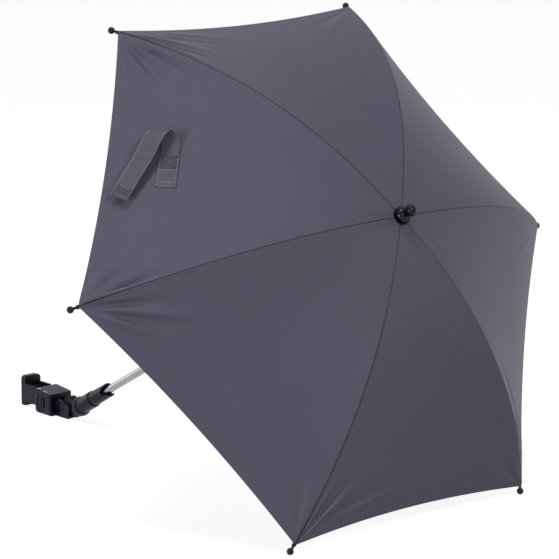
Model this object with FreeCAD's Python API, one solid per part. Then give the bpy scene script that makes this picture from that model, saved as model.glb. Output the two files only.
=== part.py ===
import FreeCAD, Part
import math
import os
from FreeCAD import Placement, Rotation, Vector

# All sizes are in millimetres and all angles in degrees.
# The row frame has the gripped pram tube along Z through the origin, and the shaft leans in the XZ plane.

# Canopy outline
RIB_COUNT = 6
RIB_STRETCH_SHARE = 1.0
FIRST_RIB_ANGLE = 210.0
RIB_STEP_ANGLE = -60.0
HALF_GORE_ANGLE = 30.0
TIP_RADIUS = 345.0
CANOPY_DEPTH = 145.0
RIB_CURVE_POWER = 2.36
STATION_SHARES = (0.0, 0.12, 0.25, 0.38, 0.5, 0.62, 0.75, 0.88, 1.0)

# Canopy cloth
CLOTH_THICKNESS = 0.8
CLOTH_HOLE_RADIUS = 5.5
CLOTH_TO_BALL = 6.6
CLOTH_SAG = 7.0
SAG_START = 10.0
SAG_FULL = 240.0
HEM_HOLLOW = 5.5
GORE_SHARES = (-1.05, -0.8, -0.55, -0.28, 0.0, 0.28, 0.55, 0.8, 1.05)
STRAP_SPLIT_ANGLE = 12.0

# Ribs
RIB_TOP_GAP = 2.0
RIB_HEIGHT = 3.0
RIB_WIDTH = 2.8
RIB_WALL = 0.7
RIB_END_SHORT = 6.5
RIB_FLUTE_START = 30.0
RIB_FLUTE_SHORT = 12.0
RIB_EYE_RADIUS = 2.0
WIRE_CIRCLE_RADIUS = 8.0
WIRE_RADIUS = 0.6
WIRE_CLEARANCE = 0.2
CROWN_PIVOT_DROP = 5.0

# Tip caps
TIP_BALL_RADIUS = 3.9
TIP_NECK_RADIUS = 1.5
TIP_SLEEVE_RADIUS = 2.35
TIP_SLEEVE_START = 15.0
TIP_SLEEVE_END = 6.8
TIP_LIP_DROP = 0.3
TIP_POCKET_CLEARANCE = 0.05

# Stretchers and their rivets
STRETCHER_RADIUS_ON_RIB = 200.0
LUG_DROP = 2.4
LUG_RADIUS = 2.1
STRETCHER_HEIGHT = 3.4
STRETCHER_WALL = 0.9
STRETCHER_SIDE_GAP = 0.3
STRETCHER_WEB_START = 9.0
STRETCHER_TONGUE_LENGTH = 12.0
STRETCHER_END_BLOCK = 5.0
STRETCHER_EYE_RADIUS = 2.0
TONGUE_WIDTH = 2.6
RIVET_RADIUS = 1.0
RIVET_CLEARANCE = 0.08
RIVET_HEAD_RADIUS = 1.9
RIVET_HEAD_HEIGHT = 0.5

# Crown and runner
SLOT_WIDTH = 3.4
CROWN_RADIUS = 11.0
CROWN_CORE_RADIUS = 5.75
CROWN_TOP_GAP = 0.3
CROWN_HEIGHT = 11.0
CROWN_EDGE = 1.0
RUNNER_HEAD_RADIUS = 11.0
RUNNER_HEAD_ABOVE = 5.0
RUNNER_HEAD_BELOW = 6.0
RUNNER_SLOT_BELOW = 2.5
RUNNER_SLEEVE_RADIUS = 7.8
RUNNER_SLEEVE_LENGTH = 20.0
RUNNER_FLANGE_RADIUS = 11.5
RUNNER_FLANGE_HEIGHT = 3.2
RUNNER_EDGE = 1.0
RUNNER_BUSH_WALL = 0.9
RUNNER_BUSH_LENGTH = 24.0
RUNNER_CLEARANCE = 0.15
STOP_RING_RADIUS = 6.8
STOP_RING_HEIGHT = 3.5
STOP_RING_GAP = 0.4
STOP_PIN_RADIUS = 0.8

# Shaft
SHAFT_TILT = 29.4
SHAFT_RADIUS = 4.75
SHAFT_WALL = 0.75
CROWN_DISTANCE = 659.0
SHAFT_START = 16.0
SHAFT_TOP_SHORT = 1.6
END_PLUG_LENGTH = 12.0
END_PLUG_FLANGE = 1.4
TOP_PLUG_LENGTH = 22.0

# Ferrule on the crown
WASHER_RADIUS = 9.0
WASHER_THICKNESS = 0.6
WASHER_GAP = 0.15
FERRULE_STEM_RADIUS = 2.5
FERRULE_STEM_LENGTH = 18.0
FERRULE_BASE_RADIUS = 9.8
FERRULE_RIM_HEIGHT = 2.6
FERRULE_BASE_HEIGHT = 10.5
FERRULE_NECK_RADIUS = 4.4
FERRULE_DOME_BULGE = 1.2
KNOB_NECK_HEIGHT = 2.4
KNOB_RADIUS = 6.7
KNOB_HEIGHT = 12.5
KNOB_TIP_RADIUS = 2.1
KNOB_TIP_HEIGHT = 3.0
KNOB_TIP_FLAT = 0.7
KNOB_STUD_RADIUS = 2.0
KNOB_STUD_LENGTH = 6.0

# Tie strap sewn on one gore, placed from the middle of its patch
STRAP_GORE_ANGLE = 240.0
PATCH_MID_RADIUS = 275.0
PATCH_OFFSET = 5.5
PATCH_LENGTH = 39.0
PATCH_WIDTH = 22.0
PATCH_THICKNESS = 0.9
PATCH_GAP = 0.35
STRAP_WIDTH = 20.0
STRAP_THICKNESS = 1.0
STRAP_RUN = ((3.0, 0.0, 0.0), (0.0, 0.0, 0.0), (-7.0, -1.5, 0.7), (-14.0, -4.5, 3.0), (-19.5, -8.0, 8.0),
             (-20.5, -11.0, 13.0), (-17.0, -14.0, 17.0), (-9.5, -17.5, 17.6), (0.0, -21.5, 14.4),
             (5.5, -24.0, 11.4), (11.0, -26.2, 9.0), (24.0, -31.6, 8.4), (40.0, -38.5, 6.4),
             (56.0, -45.3, 4.4))
FASTENER_LENGTH = 14.0
FASTENER_SIDE = 17.0
FASTENER_THICKNESS = 0.7

# Gripped tube and the two pads of the clamp
GRIP_RADIUS = 9.0
PAD_FLOOR = 4.2
PAD_REACH = 6.0
PAD_HALF_WIDTH = 8.0
PAD_HALF_HEIGHT = 10.0

# Clamp housing
FLOOR_DROP = 17.0
HOUSING_LENGTH = 31.5
HOUSING_HALF_WIDTH = 17.2
HOUSING_REAR_TOP = 13.8
HOUSING_FRONT_TOP = 10.4
HOUSING_EDGE = 2.5
HOUSING_HEEL = 5.0
COVER_THICKNESS = 2.6
COVER_EDGE = 0.8
FLUTE_COUNT = 4
FLUTE_WIDTH = 0.8
FLUTE_PITCH = 1.6
FLUTE_DEPTH = 0.8
FLUTE_INSET = 0.9
FLUTE_MARGIN = 3.5

# Hook jaw and the channels that guide its arms
ARM_INNER = 9.3
ARM_THICKNESS = 2.8
ARM_LOW = -10.0
ARM_HIGH_INSIDE = 7.0
ARM_HIGH_OUTSIDE = 13.5
ARM_STEP_BACK = 4.5
ARM_REACH_IN = 25.0
ARM_CLEARANCE = 0.3
CHANNEL_REACH_IN = 29.3
JAW_PLATE_THICKNESS = 10.0
JAW_PLATE_LOW = -14.6
JAW_PLATE_HIGH = 23.0
JAW_PLATE_CORNER = 5.0
JAW_PLATE_EDGE = 3.0
TOOTH_COUNT = 8
TOOTH_PITCH = 2.2
TOOTH_DEPTH = 0.7
TOOTH_INSET = 1.5

# Release buttons in the sides of the housing
BUTTON_FROM_REAR = 15.0
BUTTON_HEIGHT_AT = -3.0
BUTTON_WIDTH = 7.2
BUTTON_LENGTH = 14.8
BUTTON_CLEARANCE = 0.25
BUTTON_FLANGE = 1.0
BUTTON_FLANGE_THICKNESS = 1.0
BUTTON_LIP = 1.2
BUTTON_PROUD = 0.5
BUTTON_POCKET_DEPTH = 4.1
DISH_RADIUS = 10.6
DISH_DEPTH = 0.6
BUTTON_SLOT_WIDTH = 2.0
BUTTON_SLOT_DEPTH = 0.7
SPRING_LENGTH = 12.0
SPRING_WIDTH = 4.0
SPRING_THICKNESS = 0.3
SPRING_SEAT_GAP = 0.05

# Screws that hold the cover
SCREW_SIDE = 5.0
SCREW_INSET = 5.0
SCREW_RADIUS = 1.2
SCREW_CLEARANCE = 0.1
SCREW_HEAD_RADIUS = 2.2
SCREW_HEAD_HEIGHT = 1.8
SCREW_HEAD_DEPTH = 0.6
SCREW_BITE = 1.8

# Fork, hinge pin and elbow
PIVOT_FROM_FRONT = 22.5
PIVOT_HEIGHT = -3.3
AXIS_AHEAD_OF_PIVOT = 10.5
FORK_REACH = 26.0
FORK_ROOT_TOP = 5.6
FORK_END_TOP = 0.2
FORK_OUTER = 8.2
FORK_INNER = 5.2
FORK_EDGE = 1.5
PIN_RADIUS = 2.0
PIN_CLEARANCE = 0.06
DRUM_RADIUS = 13.2
DRUM_SIDE_GAP = 0.3
RIDGE_COUNT = 9
RIDGE_RADIUS = 1.0
RIDGE_FIRST_ANGLE = 25.0
RIDGE_STEP_ANGLE = 14.0
SOCKET_RADIUS = 10.4
SOCKET_LENGTH = 40.0
SOCKET_HEEL = 4.5
BULGE_RADIUS = 12.4
BULGE_ALONG = 10.0
SOCKET_MOUTH_EDGE = 0.8
NECK_OVERLAP = 6.0
NECK_LOW_ANGLE = -40.0
NECK_HIGH_ANGLE = 130.0
SPIGOT_RADIUS = 7.3
SPIGOT_LENGTH = 15.0
BUSH_WALL = 1.2
BUSH_CLEARANCE = 0.05
BUSH_PROUD = 2.0
BUSH_SEAT = 14.0

# Locking collar
COLLAR_RADIUS = 9.3
COLLAR_MOUTH_RADIUS = 8.7
COLLAR_LENGTH = 33.0
COLLAR_GAP = 0.8
COLLAR_CLEARANCE = 0.1
COLLAR_BORE_RADIUS = 6.3
COLLAR_STEP_GAP = 0.3
COLLAR_EDGE = 0.8
NOTCH_WIDTH = 10.5
NOTCH_DEPTH = 8.0

# One overrun serves all cuts, and one small value tells whether two places are the same
OVERRUN = 1.0
SAME_PLACE = 1e-6
SAME_WAY = 1

# Values that follow from the sizes above
Y_AXIS = Vector(0, 1, 0)
Z_AXIS = Vector(0, 0, 1)
HOUSING_REAR = GRIP_RADIUS + PAD_FLOOR
HOUSING_FRONT = HOUSING_REAR + HOUSING_LENGTH
PIVOT = Vector(HOUSING_FRONT + PIVOT_FROM_FRONT, 0, PIVOT_HEIGHT)
SHAFT_FOOT = PIVOT + Vector(AXIS_AHEAD_OF_PIVOT, 0, 0)
SHAFT_FRAME = Placement(SHAFT_FOOT, Rotation(Y_AXIS, 90 - SHAFT_TILT))
CROWN_FRAME = SHAFT_FRAME.multiply(Placement(Vector(0, 0, CROWN_DISTANCE), Rotation()))


def cloth_drop(radius):
    """Depth of the cloth below the crown at a radius along a rib."""
    return CANOPY_DEPTH * (radius / TIP_RADIUS) ** RIB_CURVE_POWER


def cloth_slope(radius):
    """Fall of the cloth per unit of radius along a rib."""
    return RIB_CURVE_POWER * cloth_drop(radius) / radius


CLOTH_END = TIP_RADIUS - CLOTH_TO_BALL * math.cos(math.atan(cloth_slope(TIP_RADIUS)))
RIB_END = TIP_RADIUS - RIB_END_SHORT
LUG_HEIGHT = -cloth_drop(STRETCHER_RADIUS_ON_RIB) - RIB_TOP_GAP - RIB_HEIGHT - LUG_DROP
RUNNER_PIVOT_HEIGHT = 2 * LUG_HEIGHT + CROWN_PIVOT_DROP
STRETCHER_LENGTH = math.hypot(STRETCHER_RADIUS_ON_RIB - WIRE_CIRCLE_RADIUS, LUG_HEIGHT + CROWN_PIVOT_DROP)
STRETCHER_ANGLE = math.degrees(math.asin((LUG_HEIGHT - RUNNER_PIVOT_HEIGHT) / STRETCHER_LENGTH))
STRETCHER_HALF_WIDTH = RIB_WIDTH / 2 + STRETCHER_SIDE_GAP + STRETCHER_WALL


def box(low, high):
    """A block between two opposite corners."""
    size = high - low
    return Part.makeBox(size.x, size.y, size.z, low)


def rod(radius, start, end):
    """A solid cylinder between two points on its axis."""
    axis = end - start
    return Part.makeCylinder(radius, axis.Length, start, axis)


def shaft_rod(radius, low, high):
    """A solid cylinder along Z between two heights."""
    return rod(radius, Vector(0, 0, low), Vector(0, 0, high))


def cross_rod(radius, centre, width):
    """A cylinder along Y, centred on a point."""
    half = Vector(0, width / 2, 0)
    return rod(radius, centre - half, centre + half)


def tube(outer, inner, low, high):
    """A sleeve along Z."""
    sleeve = shaft_rod(outer, low, high)
    return sleeve.cut(shaft_rod(inner, low - OVERRUN, high + OVERRUN))


def plate(points, width):
    """A flat outline in the XZ plane, thickened along Y about that plane."""
    face = Part.Face(Part.makePolygon(points + [points[0]]))
    face.translate(Vector(0, -width / 2, 0))
    return face.extrude(Vector(0, width, 0))


def arcs(points):
    """Arcs through each run of three points."""
    return [Part.Arc(*points[i:i + 3]).toShape() for i in range(0, len(points) - 2, 2)]


def canopy_band(start, end, top_gap, bottom_gap, stretch, width):
    """A curved bar that follows the canopy between two depths under it."""
    radii = [start + (end - start) * share for share in STATION_SHARES]
    top = [Vector(r * stretch, 0, -cloth_drop(r) - top_gap) for r in radii]
    bottom = [Vector(r * stretch, 0, -cloth_drop(r) - bottom_gap) for r in reversed(radii)]
    edges = arcs(top) + [Part.makeLine(top[-1], bottom[0])]
    edges += arcs(bottom) + [Part.makeLine(bottom[-1], top[0])]
    face = Part.Face(Part.Wire(edges))
    face.translate(Vector(0, -width / 2, 0))
    return face.extrude(Vector(0, width, 0))


def turned(shape, angle):
    """A copy turned about the shaft axis."""
    copy = shape.copy()
    copy.rotate(Vector(0, 0, 0), Z_AXIS, angle)
    return copy


def placed(shape, placement):
    """A copy moved from a local frame into the row frame."""
    copy = shape.copy()
    copy.Placement = placement.multiply(copy.Placement)
    return copy


def edges_along(shape, axis, test):
    """Straight edges along an axis whose middle passes a test."""
    chosen = []
    for edge in shape.Edges:
        if len(edge.Vertexes) != 2 or not isinstance(edge.Curve, Part.Line):
            continue
        along = (edge.Vertexes[1].Point - edge.Vertexes[0].Point).normalize()
        if abs(abs(along.dot(axis)) - 1) < SAME_PLACE and test(edge.CenterOfMass):
            chosen.append(edge)
    return chosen


def round_edges_at(shape, height):
    """Circular edges that lie at a height."""
    rings = [edge for edge in shape.Edges if isinstance(edge.Curve, Part.Circle)]
    return [ring for ring in rings if abs(ring.CenterOfMass.z - height) < SAME_PLACE]


def rib_angle(index):
    """Angle of a rib about the shaft axis."""
    return FIRST_RIB_ANGLE + RIB_STEP_ANGLE * index


def make_rib():
    """A fluted rib with an eye at the crown and a lug for its stretcher."""
    low_gap = RIB_TOP_GAP + RIB_HEIGHT
    rib = canopy_band(WIRE_CIRCLE_RADIUS, RIB_END, RIB_TOP_GAP, low_gap, RIB_STRETCH_SHARE, RIB_WIDTH)
    flute_width = RIB_WIDTH - 2 * RIB_WALL
    flute_end = RIB_END - RIB_FLUTE_SHORT
    flute_gap = RIB_TOP_GAP + RIB_WALL
    flute = canopy_band(RIB_FLUTE_START, flute_end, flute_gap, low_gap + OVERRUN,
                        RIB_STRETCH_SHARE, flute_width)
    rib = rib.cut(flute)
    eye = Vector(WIRE_CIRCLE_RADIUS, 0, -CROWN_PIVOT_DROP)
    lug = Vector(STRETCHER_RADIUS_ON_RIB, 0, LUG_HEIGHT)
    lug_root = Vector(LUG_RADIUS, RIB_WIDTH / 2, LUG_DROP + RIB_HEIGHT - RIB_WALL)
    rib = rib.fuse([cross_rod(RIB_EYE_RADIUS, eye, RIB_WIDTH),
                    cross_rod(LUG_RADIUS, lug, RIB_WIDTH),
                    box(lug - Vector(LUG_RADIUS, RIB_WIDTH / 2, 0), lug + lug_root)])
    rib = rib.cut(cross_rod(WIRE_RADIUS + WIRE_CLEARANCE, eye, RIB_WIDTH + OVERRUN))
    return rib.fuse(make_rivet(lug)).removeSplitter()


def make_tip_cap():
    """A moulded tip: a shoe that is open to the cloth over the rib's end, thin neck and ball."""
    fall = math.atan(cloth_slope(TIP_RADIUS))
    along = Vector(math.cos(fall), 0, -math.sin(fall))
    ball = Vector(TIP_RADIUS, 0, -cloth_drop(TIP_RADIUS) - RIB_TOP_GAP - RIB_HEIGHT / 2)
    sleeve = rod(TIP_SLEEVE_RADIUS, ball - along * TIP_SLEEVE_START, ball - along * TIP_SLEEVE_END)
    mouth = canopy_band(RIB_END - RIB_FLUTE_SHORT, TIP_RADIUS, -RIB_HEIGHT, RIB_TOP_GAP + TIP_LIP_DROP,
                        RIB_STRETCH_SHARE, 2 * TIP_SLEEVE_RADIUS + OVERRUN)
    sleeve = sleeve.cut(mouth)
    neck = rod(TIP_NECK_RADIUS, ball - along * TIP_SLEEVE_END, ball)
    cap = Part.makeSphere(TIP_BALL_RADIUS, ball).fuse([sleeve, neck])
    pocket = canopy_band(RIB_END - RIB_FLUTE_SHORT, RIB_END + TIP_POCKET_CLEARANCE,
                         RIB_TOP_GAP - TIP_POCKET_CLEARANCE, RIB_TOP_GAP + RIB_HEIGHT + TIP_POCKET_CLEARANCE,
                         RIB_STRETCH_SHARE, RIB_WIDTH + 2 * TIP_POCKET_CLEARANCE)
    return cap.cut(pocket)


def make_stretcher():
    """A channel with two ears at the rib and a tongue with an eye at the runner."""
    half = STRETCHER_HEIGHT / 2
    body_end = STRETCHER_LENGTH - STRETCHER_TONGUE_LENGTH
    rib_gap = RIB_WIDTH + 2 * STRETCHER_SIDE_GAP
    outer = 2 * STRETCHER_HALF_WIDTH
    side = Vector(0, STRETCHER_HALF_WIDTH, 0)
    bar = box(Vector(0, 0, -half) - side, Vector(body_end, 0, half) + side)
    bar = bar.fuse(cross_rod(LUG_RADIUS, Vector(0, 0, 0), outer))
    web_top = STRETCHER_WALL - half
    block_start = body_end - STRETCHER_END_BLOCK
    channel = box(Vector(STRETCHER_WEB_START, -rib_gap / 2, web_top),
                  Vector(block_start, rib_gap / 2, half + OVERRUN))
    mouth = box(Vector(-LUG_RADIUS - OVERRUN, -rib_gap / 2, -LUG_RADIUS - OVERRUN),
                Vector(STRETCHER_WEB_START, rib_gap / 2, LUG_RADIUS + OVERRUN))
    bar = bar.cut(channel).cut(mouth)
    eye = Vector(STRETCHER_LENGTH, 0, 0)
    tongue = box(Vector(block_start, -TONGUE_WIDTH / 2, -half), eye + Vector(0, TONGUE_WIDTH / 2, half))
    bar = bar.fuse([tongue, cross_rod(STRETCHER_EYE_RADIUS, eye, TONGUE_WIDTH)])
    bar = bar.cut(cross_rod(WIRE_RADIUS + WIRE_CLEARANCE, eye, TONGUE_WIDTH + OVERRUN))
    bar = bar.cut(cross_rod(RIVET_RADIUS + RIVET_CLEARANCE, Vector(0, 0, 0), outer + OVERRUN))
    bar = bar.removeSplitter()
    bar.rotate(Vector(0, 0, 0), Y_AXIS, 180 - STRETCHER_ANGLE)
    bar.translate(Vector(STRETCHER_RADIUS_ON_RIB, 0, LUG_HEIGHT))
    return bar


def make_rivet(lug):
    """A headed rivet, fast in the rib's lug, that both ears of the stretcher turn on."""
    reach = STRETCHER_HALF_WIDTH + RIVET_CLEARANCE
    rivet = cross_rod(RIVET_RADIUS, lug, 2 * reach)
    for side in (-1, 1):
        seat = lug + Vector(0, side * reach, 0)
        rivet = rivet.fuse(rod(RIVET_HEAD_RADIUS, seat, seat + Vector(0, side * RIVET_HEAD_HEIGHT, 0)))
    return rivet


def wedge(first_angle, last_angle):
    """A wedge of space about the shaft axis between two angles."""
    reach = 2 * TIP_RADIUS
    corners = [Vector(0, 0, 0)]
    corners += [Vector(reach * math.cos(math.radians(a)), reach * math.sin(math.radians(a)), 0)
                for a in (first_angle, last_angle)]
    face = Part.Face(Part.makePolygon(corners + [corners[0]]))
    face.translate(Vector(0, 0, -2 * CANOPY_DEPTH))
    return face.extrude(Vector(0, 0, 3 * CANOPY_DEPTH))


def cloth_sag(radius, share):
    """How far the cloth sags under the straight stretch between two ribs."""
    grown = min(max((radius - SAG_START) / (SAG_FULL - SAG_START), 0), 1)
    return CLOTH_SAG * grown ** 2 * (3 - 2 * grown) * (1 - share ** 2)


def gore_point(radius, share):
    """A point of the cloth's outer face in a gore about the X direction."""
    half_angle = math.radians(HALF_GORE_ANGLE)
    fall = math.atan(cloth_slope(radius) / math.cos(half_angle))
    sag = cloth_sag(radius, share)
    out = radius * math.cos(half_angle) - sag * math.sin(fall)
    return Vector(out, share * radius * math.sin(half_angle), -cloth_drop(radius) - sag * math.cos(fall))


def make_gore():
    """One gore of cloth about the X direction: a saddle between two ribs, with a hollow hem."""
    stretch = math.cos(math.radians(HALF_GORE_ANGLE))
    fall = math.atan(cloth_slope(CLOTH_END) / stretch)
    grid = []
    for share in GORE_SHARES:
        hem = CLOTH_END - HEM_HOLLOW * (1 - share ** 2) * math.cos(fall) / stretch
        reach = hem - CLOTH_HOLE_RADIUS
        grid.append([gore_point(CLOTH_HOLE_RADIUS + reach * station, share) for station in STATION_SHARES])
    sheet = Part.BSplineSurface()
    sheet.interpolate(grid)
    return sheet.toShape().extrude(Vector(0, 0, -CLOTH_THICKNESS))


def make_panel(index, gore):
    """The cloth that rides on one rib: the gore on each side of it, up to the parting line."""
    middle = rib_angle(index)
    panel = []
    for side in (-1, 1):
        gore_angle = middle + side * HALF_GORE_ANGLE
        parting = gore_angle
        if abs(gore_angle % 360 - STRAP_GORE_ANGLE) < SAME_PLACE:
            parting -= STRAP_SPLIT_ANGLE
        low, high = sorted((middle, parting))
        panel.append(turned(gore, gore_angle).common(wedge(low, high)))
    return panel[0].fuse(panel[1])


def radial_slots(body, core_radius, low, high):
    """Cuts the rib slots into a head, leaving its core."""
    for index in range(RIB_COUNT):
        slot = box(Vector(core_radius, -SLOT_WIDTH / 2, low), Vector(2 * CROWN_RADIUS, SLOT_WIDTH / 2, high))
        body = body.cut(turned(slot, rib_angle(index)))
    return body


def wire_ring(height):
    """A ring of tie wire about the shaft axis."""
    return Part.makeTorus(WIRE_CIRCLE_RADIUS, WIRE_RADIUS, Vector(0, 0, height), Z_AXIS)


def make_crown():
    """The top notch: a slotted head on the shaft, with a tunnel for its tie wire."""
    top = -CLOTH_THICKNESS - CROWN_TOP_GAP
    crown = shaft_rod(CROWN_RADIUS, top - CROWN_HEIGHT, top)
    crown = crown.makeChamfer(CROWN_EDGE, round_edges_at(crown, top - CROWN_HEIGHT))
    crown = crown.cut(shaft_rod(SHAFT_RADIUS, top - CROWN_HEIGHT - OVERRUN, top + OVERRUN))
    crown = radial_slots(crown, CROWN_CORE_RADIUS, top - CROWN_HEIGHT - OVERRUN, top + OVERRUN)
    return crown.cut(wire_ring(-CROWN_PIVOT_DROP))


def make_runner():
    """The runner: slotted head, sleeve and thumb flange, bored for its bush."""
    pivot = RUNNER_PIVOT_HEIGHT
    head_top = pivot + RUNNER_HEAD_ABOVE
    head_low = pivot - RUNNER_HEAD_BELOW
    low = head_low - RUNNER_SLEEVE_LENGTH
    head = shaft_rod(RUNNER_HEAD_RADIUS, head_low, head_top)
    head = head.makeChamfer(RUNNER_EDGE, round_edges_at(head, head_low))
    flange = shaft_rod(RUNNER_FLANGE_RADIUS, low, low + RUNNER_FLANGE_HEIGHT)
    flange_rims = round_edges_at(flange, low) + round_edges_at(flange, low + RUNNER_FLANGE_HEIGHT)
    flange = flange.makeFillet(RUNNER_EDGE, flange_rims)
    runner = head.fuse([shaft_rod(RUNNER_SLEEVE_RADIUS, low, head_low), flange])
    bore = SHAFT_RADIUS + RUNNER_CLEARANCE
    runner = runner.cut(shaft_rod(bore, low - OVERRUN, head_top + OVERRUN))
    runner = runner.cut(shaft_rod(bore + RUNNER_BUSH_WALL, low - OVERRUN, low + RUNNER_BUSH_LENGTH))
    runner = radial_slots(runner, CROWN_CORE_RADIUS, pivot - RUNNER_SLOT_BELOW, head_top + OVERRUN)
    return runner.cut(wire_ring(pivot)).removeSplitter()


def make_runner_bush():
    """A nylon bush that grips the shaft inside the runner."""
    low = RUNNER_PIVOT_HEIGHT - RUNNER_HEAD_BELOW - RUNNER_SLEEVE_LENGTH
    inner = SHAFT_RADIUS + RUNNER_CLEARANCE
    return tube(inner + RUNNER_BUSH_WALL, inner, low, low + RUNNER_BUSH_LENGTH)


def make_shaft_and_stop():
    """The shaft tube, the stop ring above the runner and the pin that holds the ring."""
    top = CROWN_DISTANCE - CLOTH_THICKNESS - SHAFT_TOP_SHORT
    ring_low = CROWN_DISTANCE + RUNNER_PIVOT_HEIGHT + RUNNER_HEAD_ABOVE + STOP_RING_GAP
    ring = tube(STOP_RING_RADIUS, SHAFT_RADIUS, ring_low, ring_low + STOP_RING_HEIGHT)
    pin = cross_rod(STOP_PIN_RADIUS, Vector(0, 0, ring_low + STOP_RING_HEIGHT / 2), 2 * STOP_RING_RADIUS)
    shaft = tube(SHAFT_RADIUS, SHAFT_RADIUS - SHAFT_WALL, SHAFT_START, top)
    return shaft.cut(pin), ring.cut(pin), pin


def make_shaft_plugs():
    """The stopper in the tube's foot and the sleeve in its head that takes the ferrule's stem."""
    bore = SHAFT_RADIUS - SHAFT_WALL
    foot = shaft_rod(bore, SHAFT_START, SHAFT_START + END_PLUG_LENGTH)
    foot = foot.fuse(shaft_rod(SHAFT_RADIUS, SHAFT_START - END_PLUG_FLANGE, SHAFT_START))
    top = CROWN_DISTANCE - CLOTH_THICKNESS - SHAFT_TOP_SHORT
    return foot, tube(bore, FERRULE_STEM_RADIUS, top - TOP_PLUG_LENGTH, top)


def make_ferrule():
    """The cloth washer, the domed ferrule base with its stem, and the knob on it."""
    washer_top = WASHER_GAP + WASHER_THICKNESS
    washer = tube(WASHER_RADIUS, FERRULE_STEM_RADIUS, WASHER_GAP, washer_top)
    rim = washer_top + FERRULE_RIM_HEIGHT
    dome_top = washer_top + FERRULE_BASE_HEIGHT
    foot = Vector(0, 0, washer_top)
    edge_low = Vector(FERRULE_BASE_RADIUS, 0, washer_top)
    edge_high = Vector(FERRULE_BASE_RADIUS, 0, rim)
    waist = Vector(FERRULE_NECK_RADIUS, 0, dome_top)
    head = Vector(0, 0, dome_top)
    bulge = (edge_high + waist) / 2 + Vector(FERRULE_DOME_BULGE, 0, FERRULE_DOME_BULGE)
    outline = [Part.makeLine(foot, edge_low), Part.makeLine(edge_low, edge_high),
               Part.Arc(edge_high, bulge, waist).toShape(),
               Part.makeLine(waist, head), Part.makeLine(head, foot)]
    base = Part.Face(Part.Wire(outline)).revolve(Vector(0, 0, 0), Z_AXIS, 360)
    base = base.fuse(shaft_rod(FERRULE_STEM_RADIUS, washer_top - FERRULE_STEM_LENGTH, washer_top))
    stud_low = Vector(0, 0, dome_top - KNOB_STUD_LENGTH)
    base = base.cut(rod(KNOB_STUD_RADIUS, stud_low, Vector(0, 0, dome_top + OVERRUN)))
    neck_top = dome_top + KNOB_NECK_HEIGHT
    knob_top = dome_top + KNOB_HEIGHT
    flare = Vector(FERRULE_NECK_RADIUS, 0, neck_top)
    belly = Vector(KNOB_RADIUS, 0, (neck_top + knob_top) / 2)
    crest = Vector(KNOB_TIP_RADIUS, 0, knob_top)
    point = Vector(0, 0, knob_top + KNOB_TIP_HEIGHT)
    flat = Vector(KNOB_TIP_FLAT, 0, knob_top + KNOB_TIP_HEIGHT)
    eighth = math.pi / 4
    tip_bulge = Vector(KNOB_TIP_RADIUS * math.cos(eighth), 0, knob_top + KNOB_TIP_HEIGHT * math.sin(eighth))
    tip_bulge += Vector(KNOB_TIP_FLAT / 2, 0, 0)
    outline = [Part.makeLine(head, waist), Part.makeLine(waist, flare),
               Part.Arc(flare, belly, crest).toShape(), Part.Arc(crest, tip_bulge, flat).toShape(),
               Part.makeLine(flat, point), Part.makeLine(point, head)]
    knob = Part.Face(Part.Wire(outline)).revolve(Vector(0, 0, 0), Z_AXIS, 360)
    return washer, base, knob.fuse(rod(KNOB_STUD_RADIUS, stud_low, Vector(0, 0, dome_top)))


def strap_frame():
    """Frame of the sewn patch: X along the hem, Y up the slope, Z out of the cloth."""
    half_angle = math.radians(HALF_GORE_ANGLE)
    fall = math.degrees(math.atan(cloth_slope(PATCH_MID_RADIUS) / math.cos(half_angle)))
    middle = gore_point(PATCH_MID_RADIUS, PATCH_OFFSET / (PATCH_MID_RADIUS * math.sin(half_angle)))
    lean = Rotation(Y_AXIS, fall).multiply(Rotation(Z_AXIS, 90))
    turn = Placement(Vector(0, 0, 0), Rotation(Z_AXIS, STRAP_GORE_ANGLE))
    return turn.multiply(Placement(middle, lean))


def strap_place(before, spot, after):
    """Frame of the webbing at a spot on its run: X along it, Y across it, Z out of its face."""
    along = (after - before).normalize()
    across = (Y_AXIS - along * along.y).normalize()
    return Placement(spot, Rotation(along, across, along.cross(across), "XYZ"))


def make_webbing(places):
    """A flat band through a row of frames: four edge curves, ruled walls between them and two ends."""
    side, thick = STRAP_WIDTH / 2, STRAP_THICKNESS / 2
    corners = [Vector(0, y, z) for y, z in ((-side, -thick), (side, -thick), (side, thick), (-side, thick))]
    edges = []
    for corner in corners:
        curve = Part.BSplineCurve()
        curve.interpolate([place.multVec(corner) for place in places])
        edges.append(curve.toShape())
    pairs = zip(edges, edges[1:] + edges[:1])
    faces = [Part.makeRuledSurface(first, second, SAME_WAY) for first, second in pairs]
    for place in (places[0], places[-1]):
        faces.append(Part.Face(Part.makePolygon([place.multVec(corner) for corner in corners + corners[:1]])))
    shell = Part.makeShell(faces)
    shell.sewShape()
    return Part.makeSolid(shell)


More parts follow.
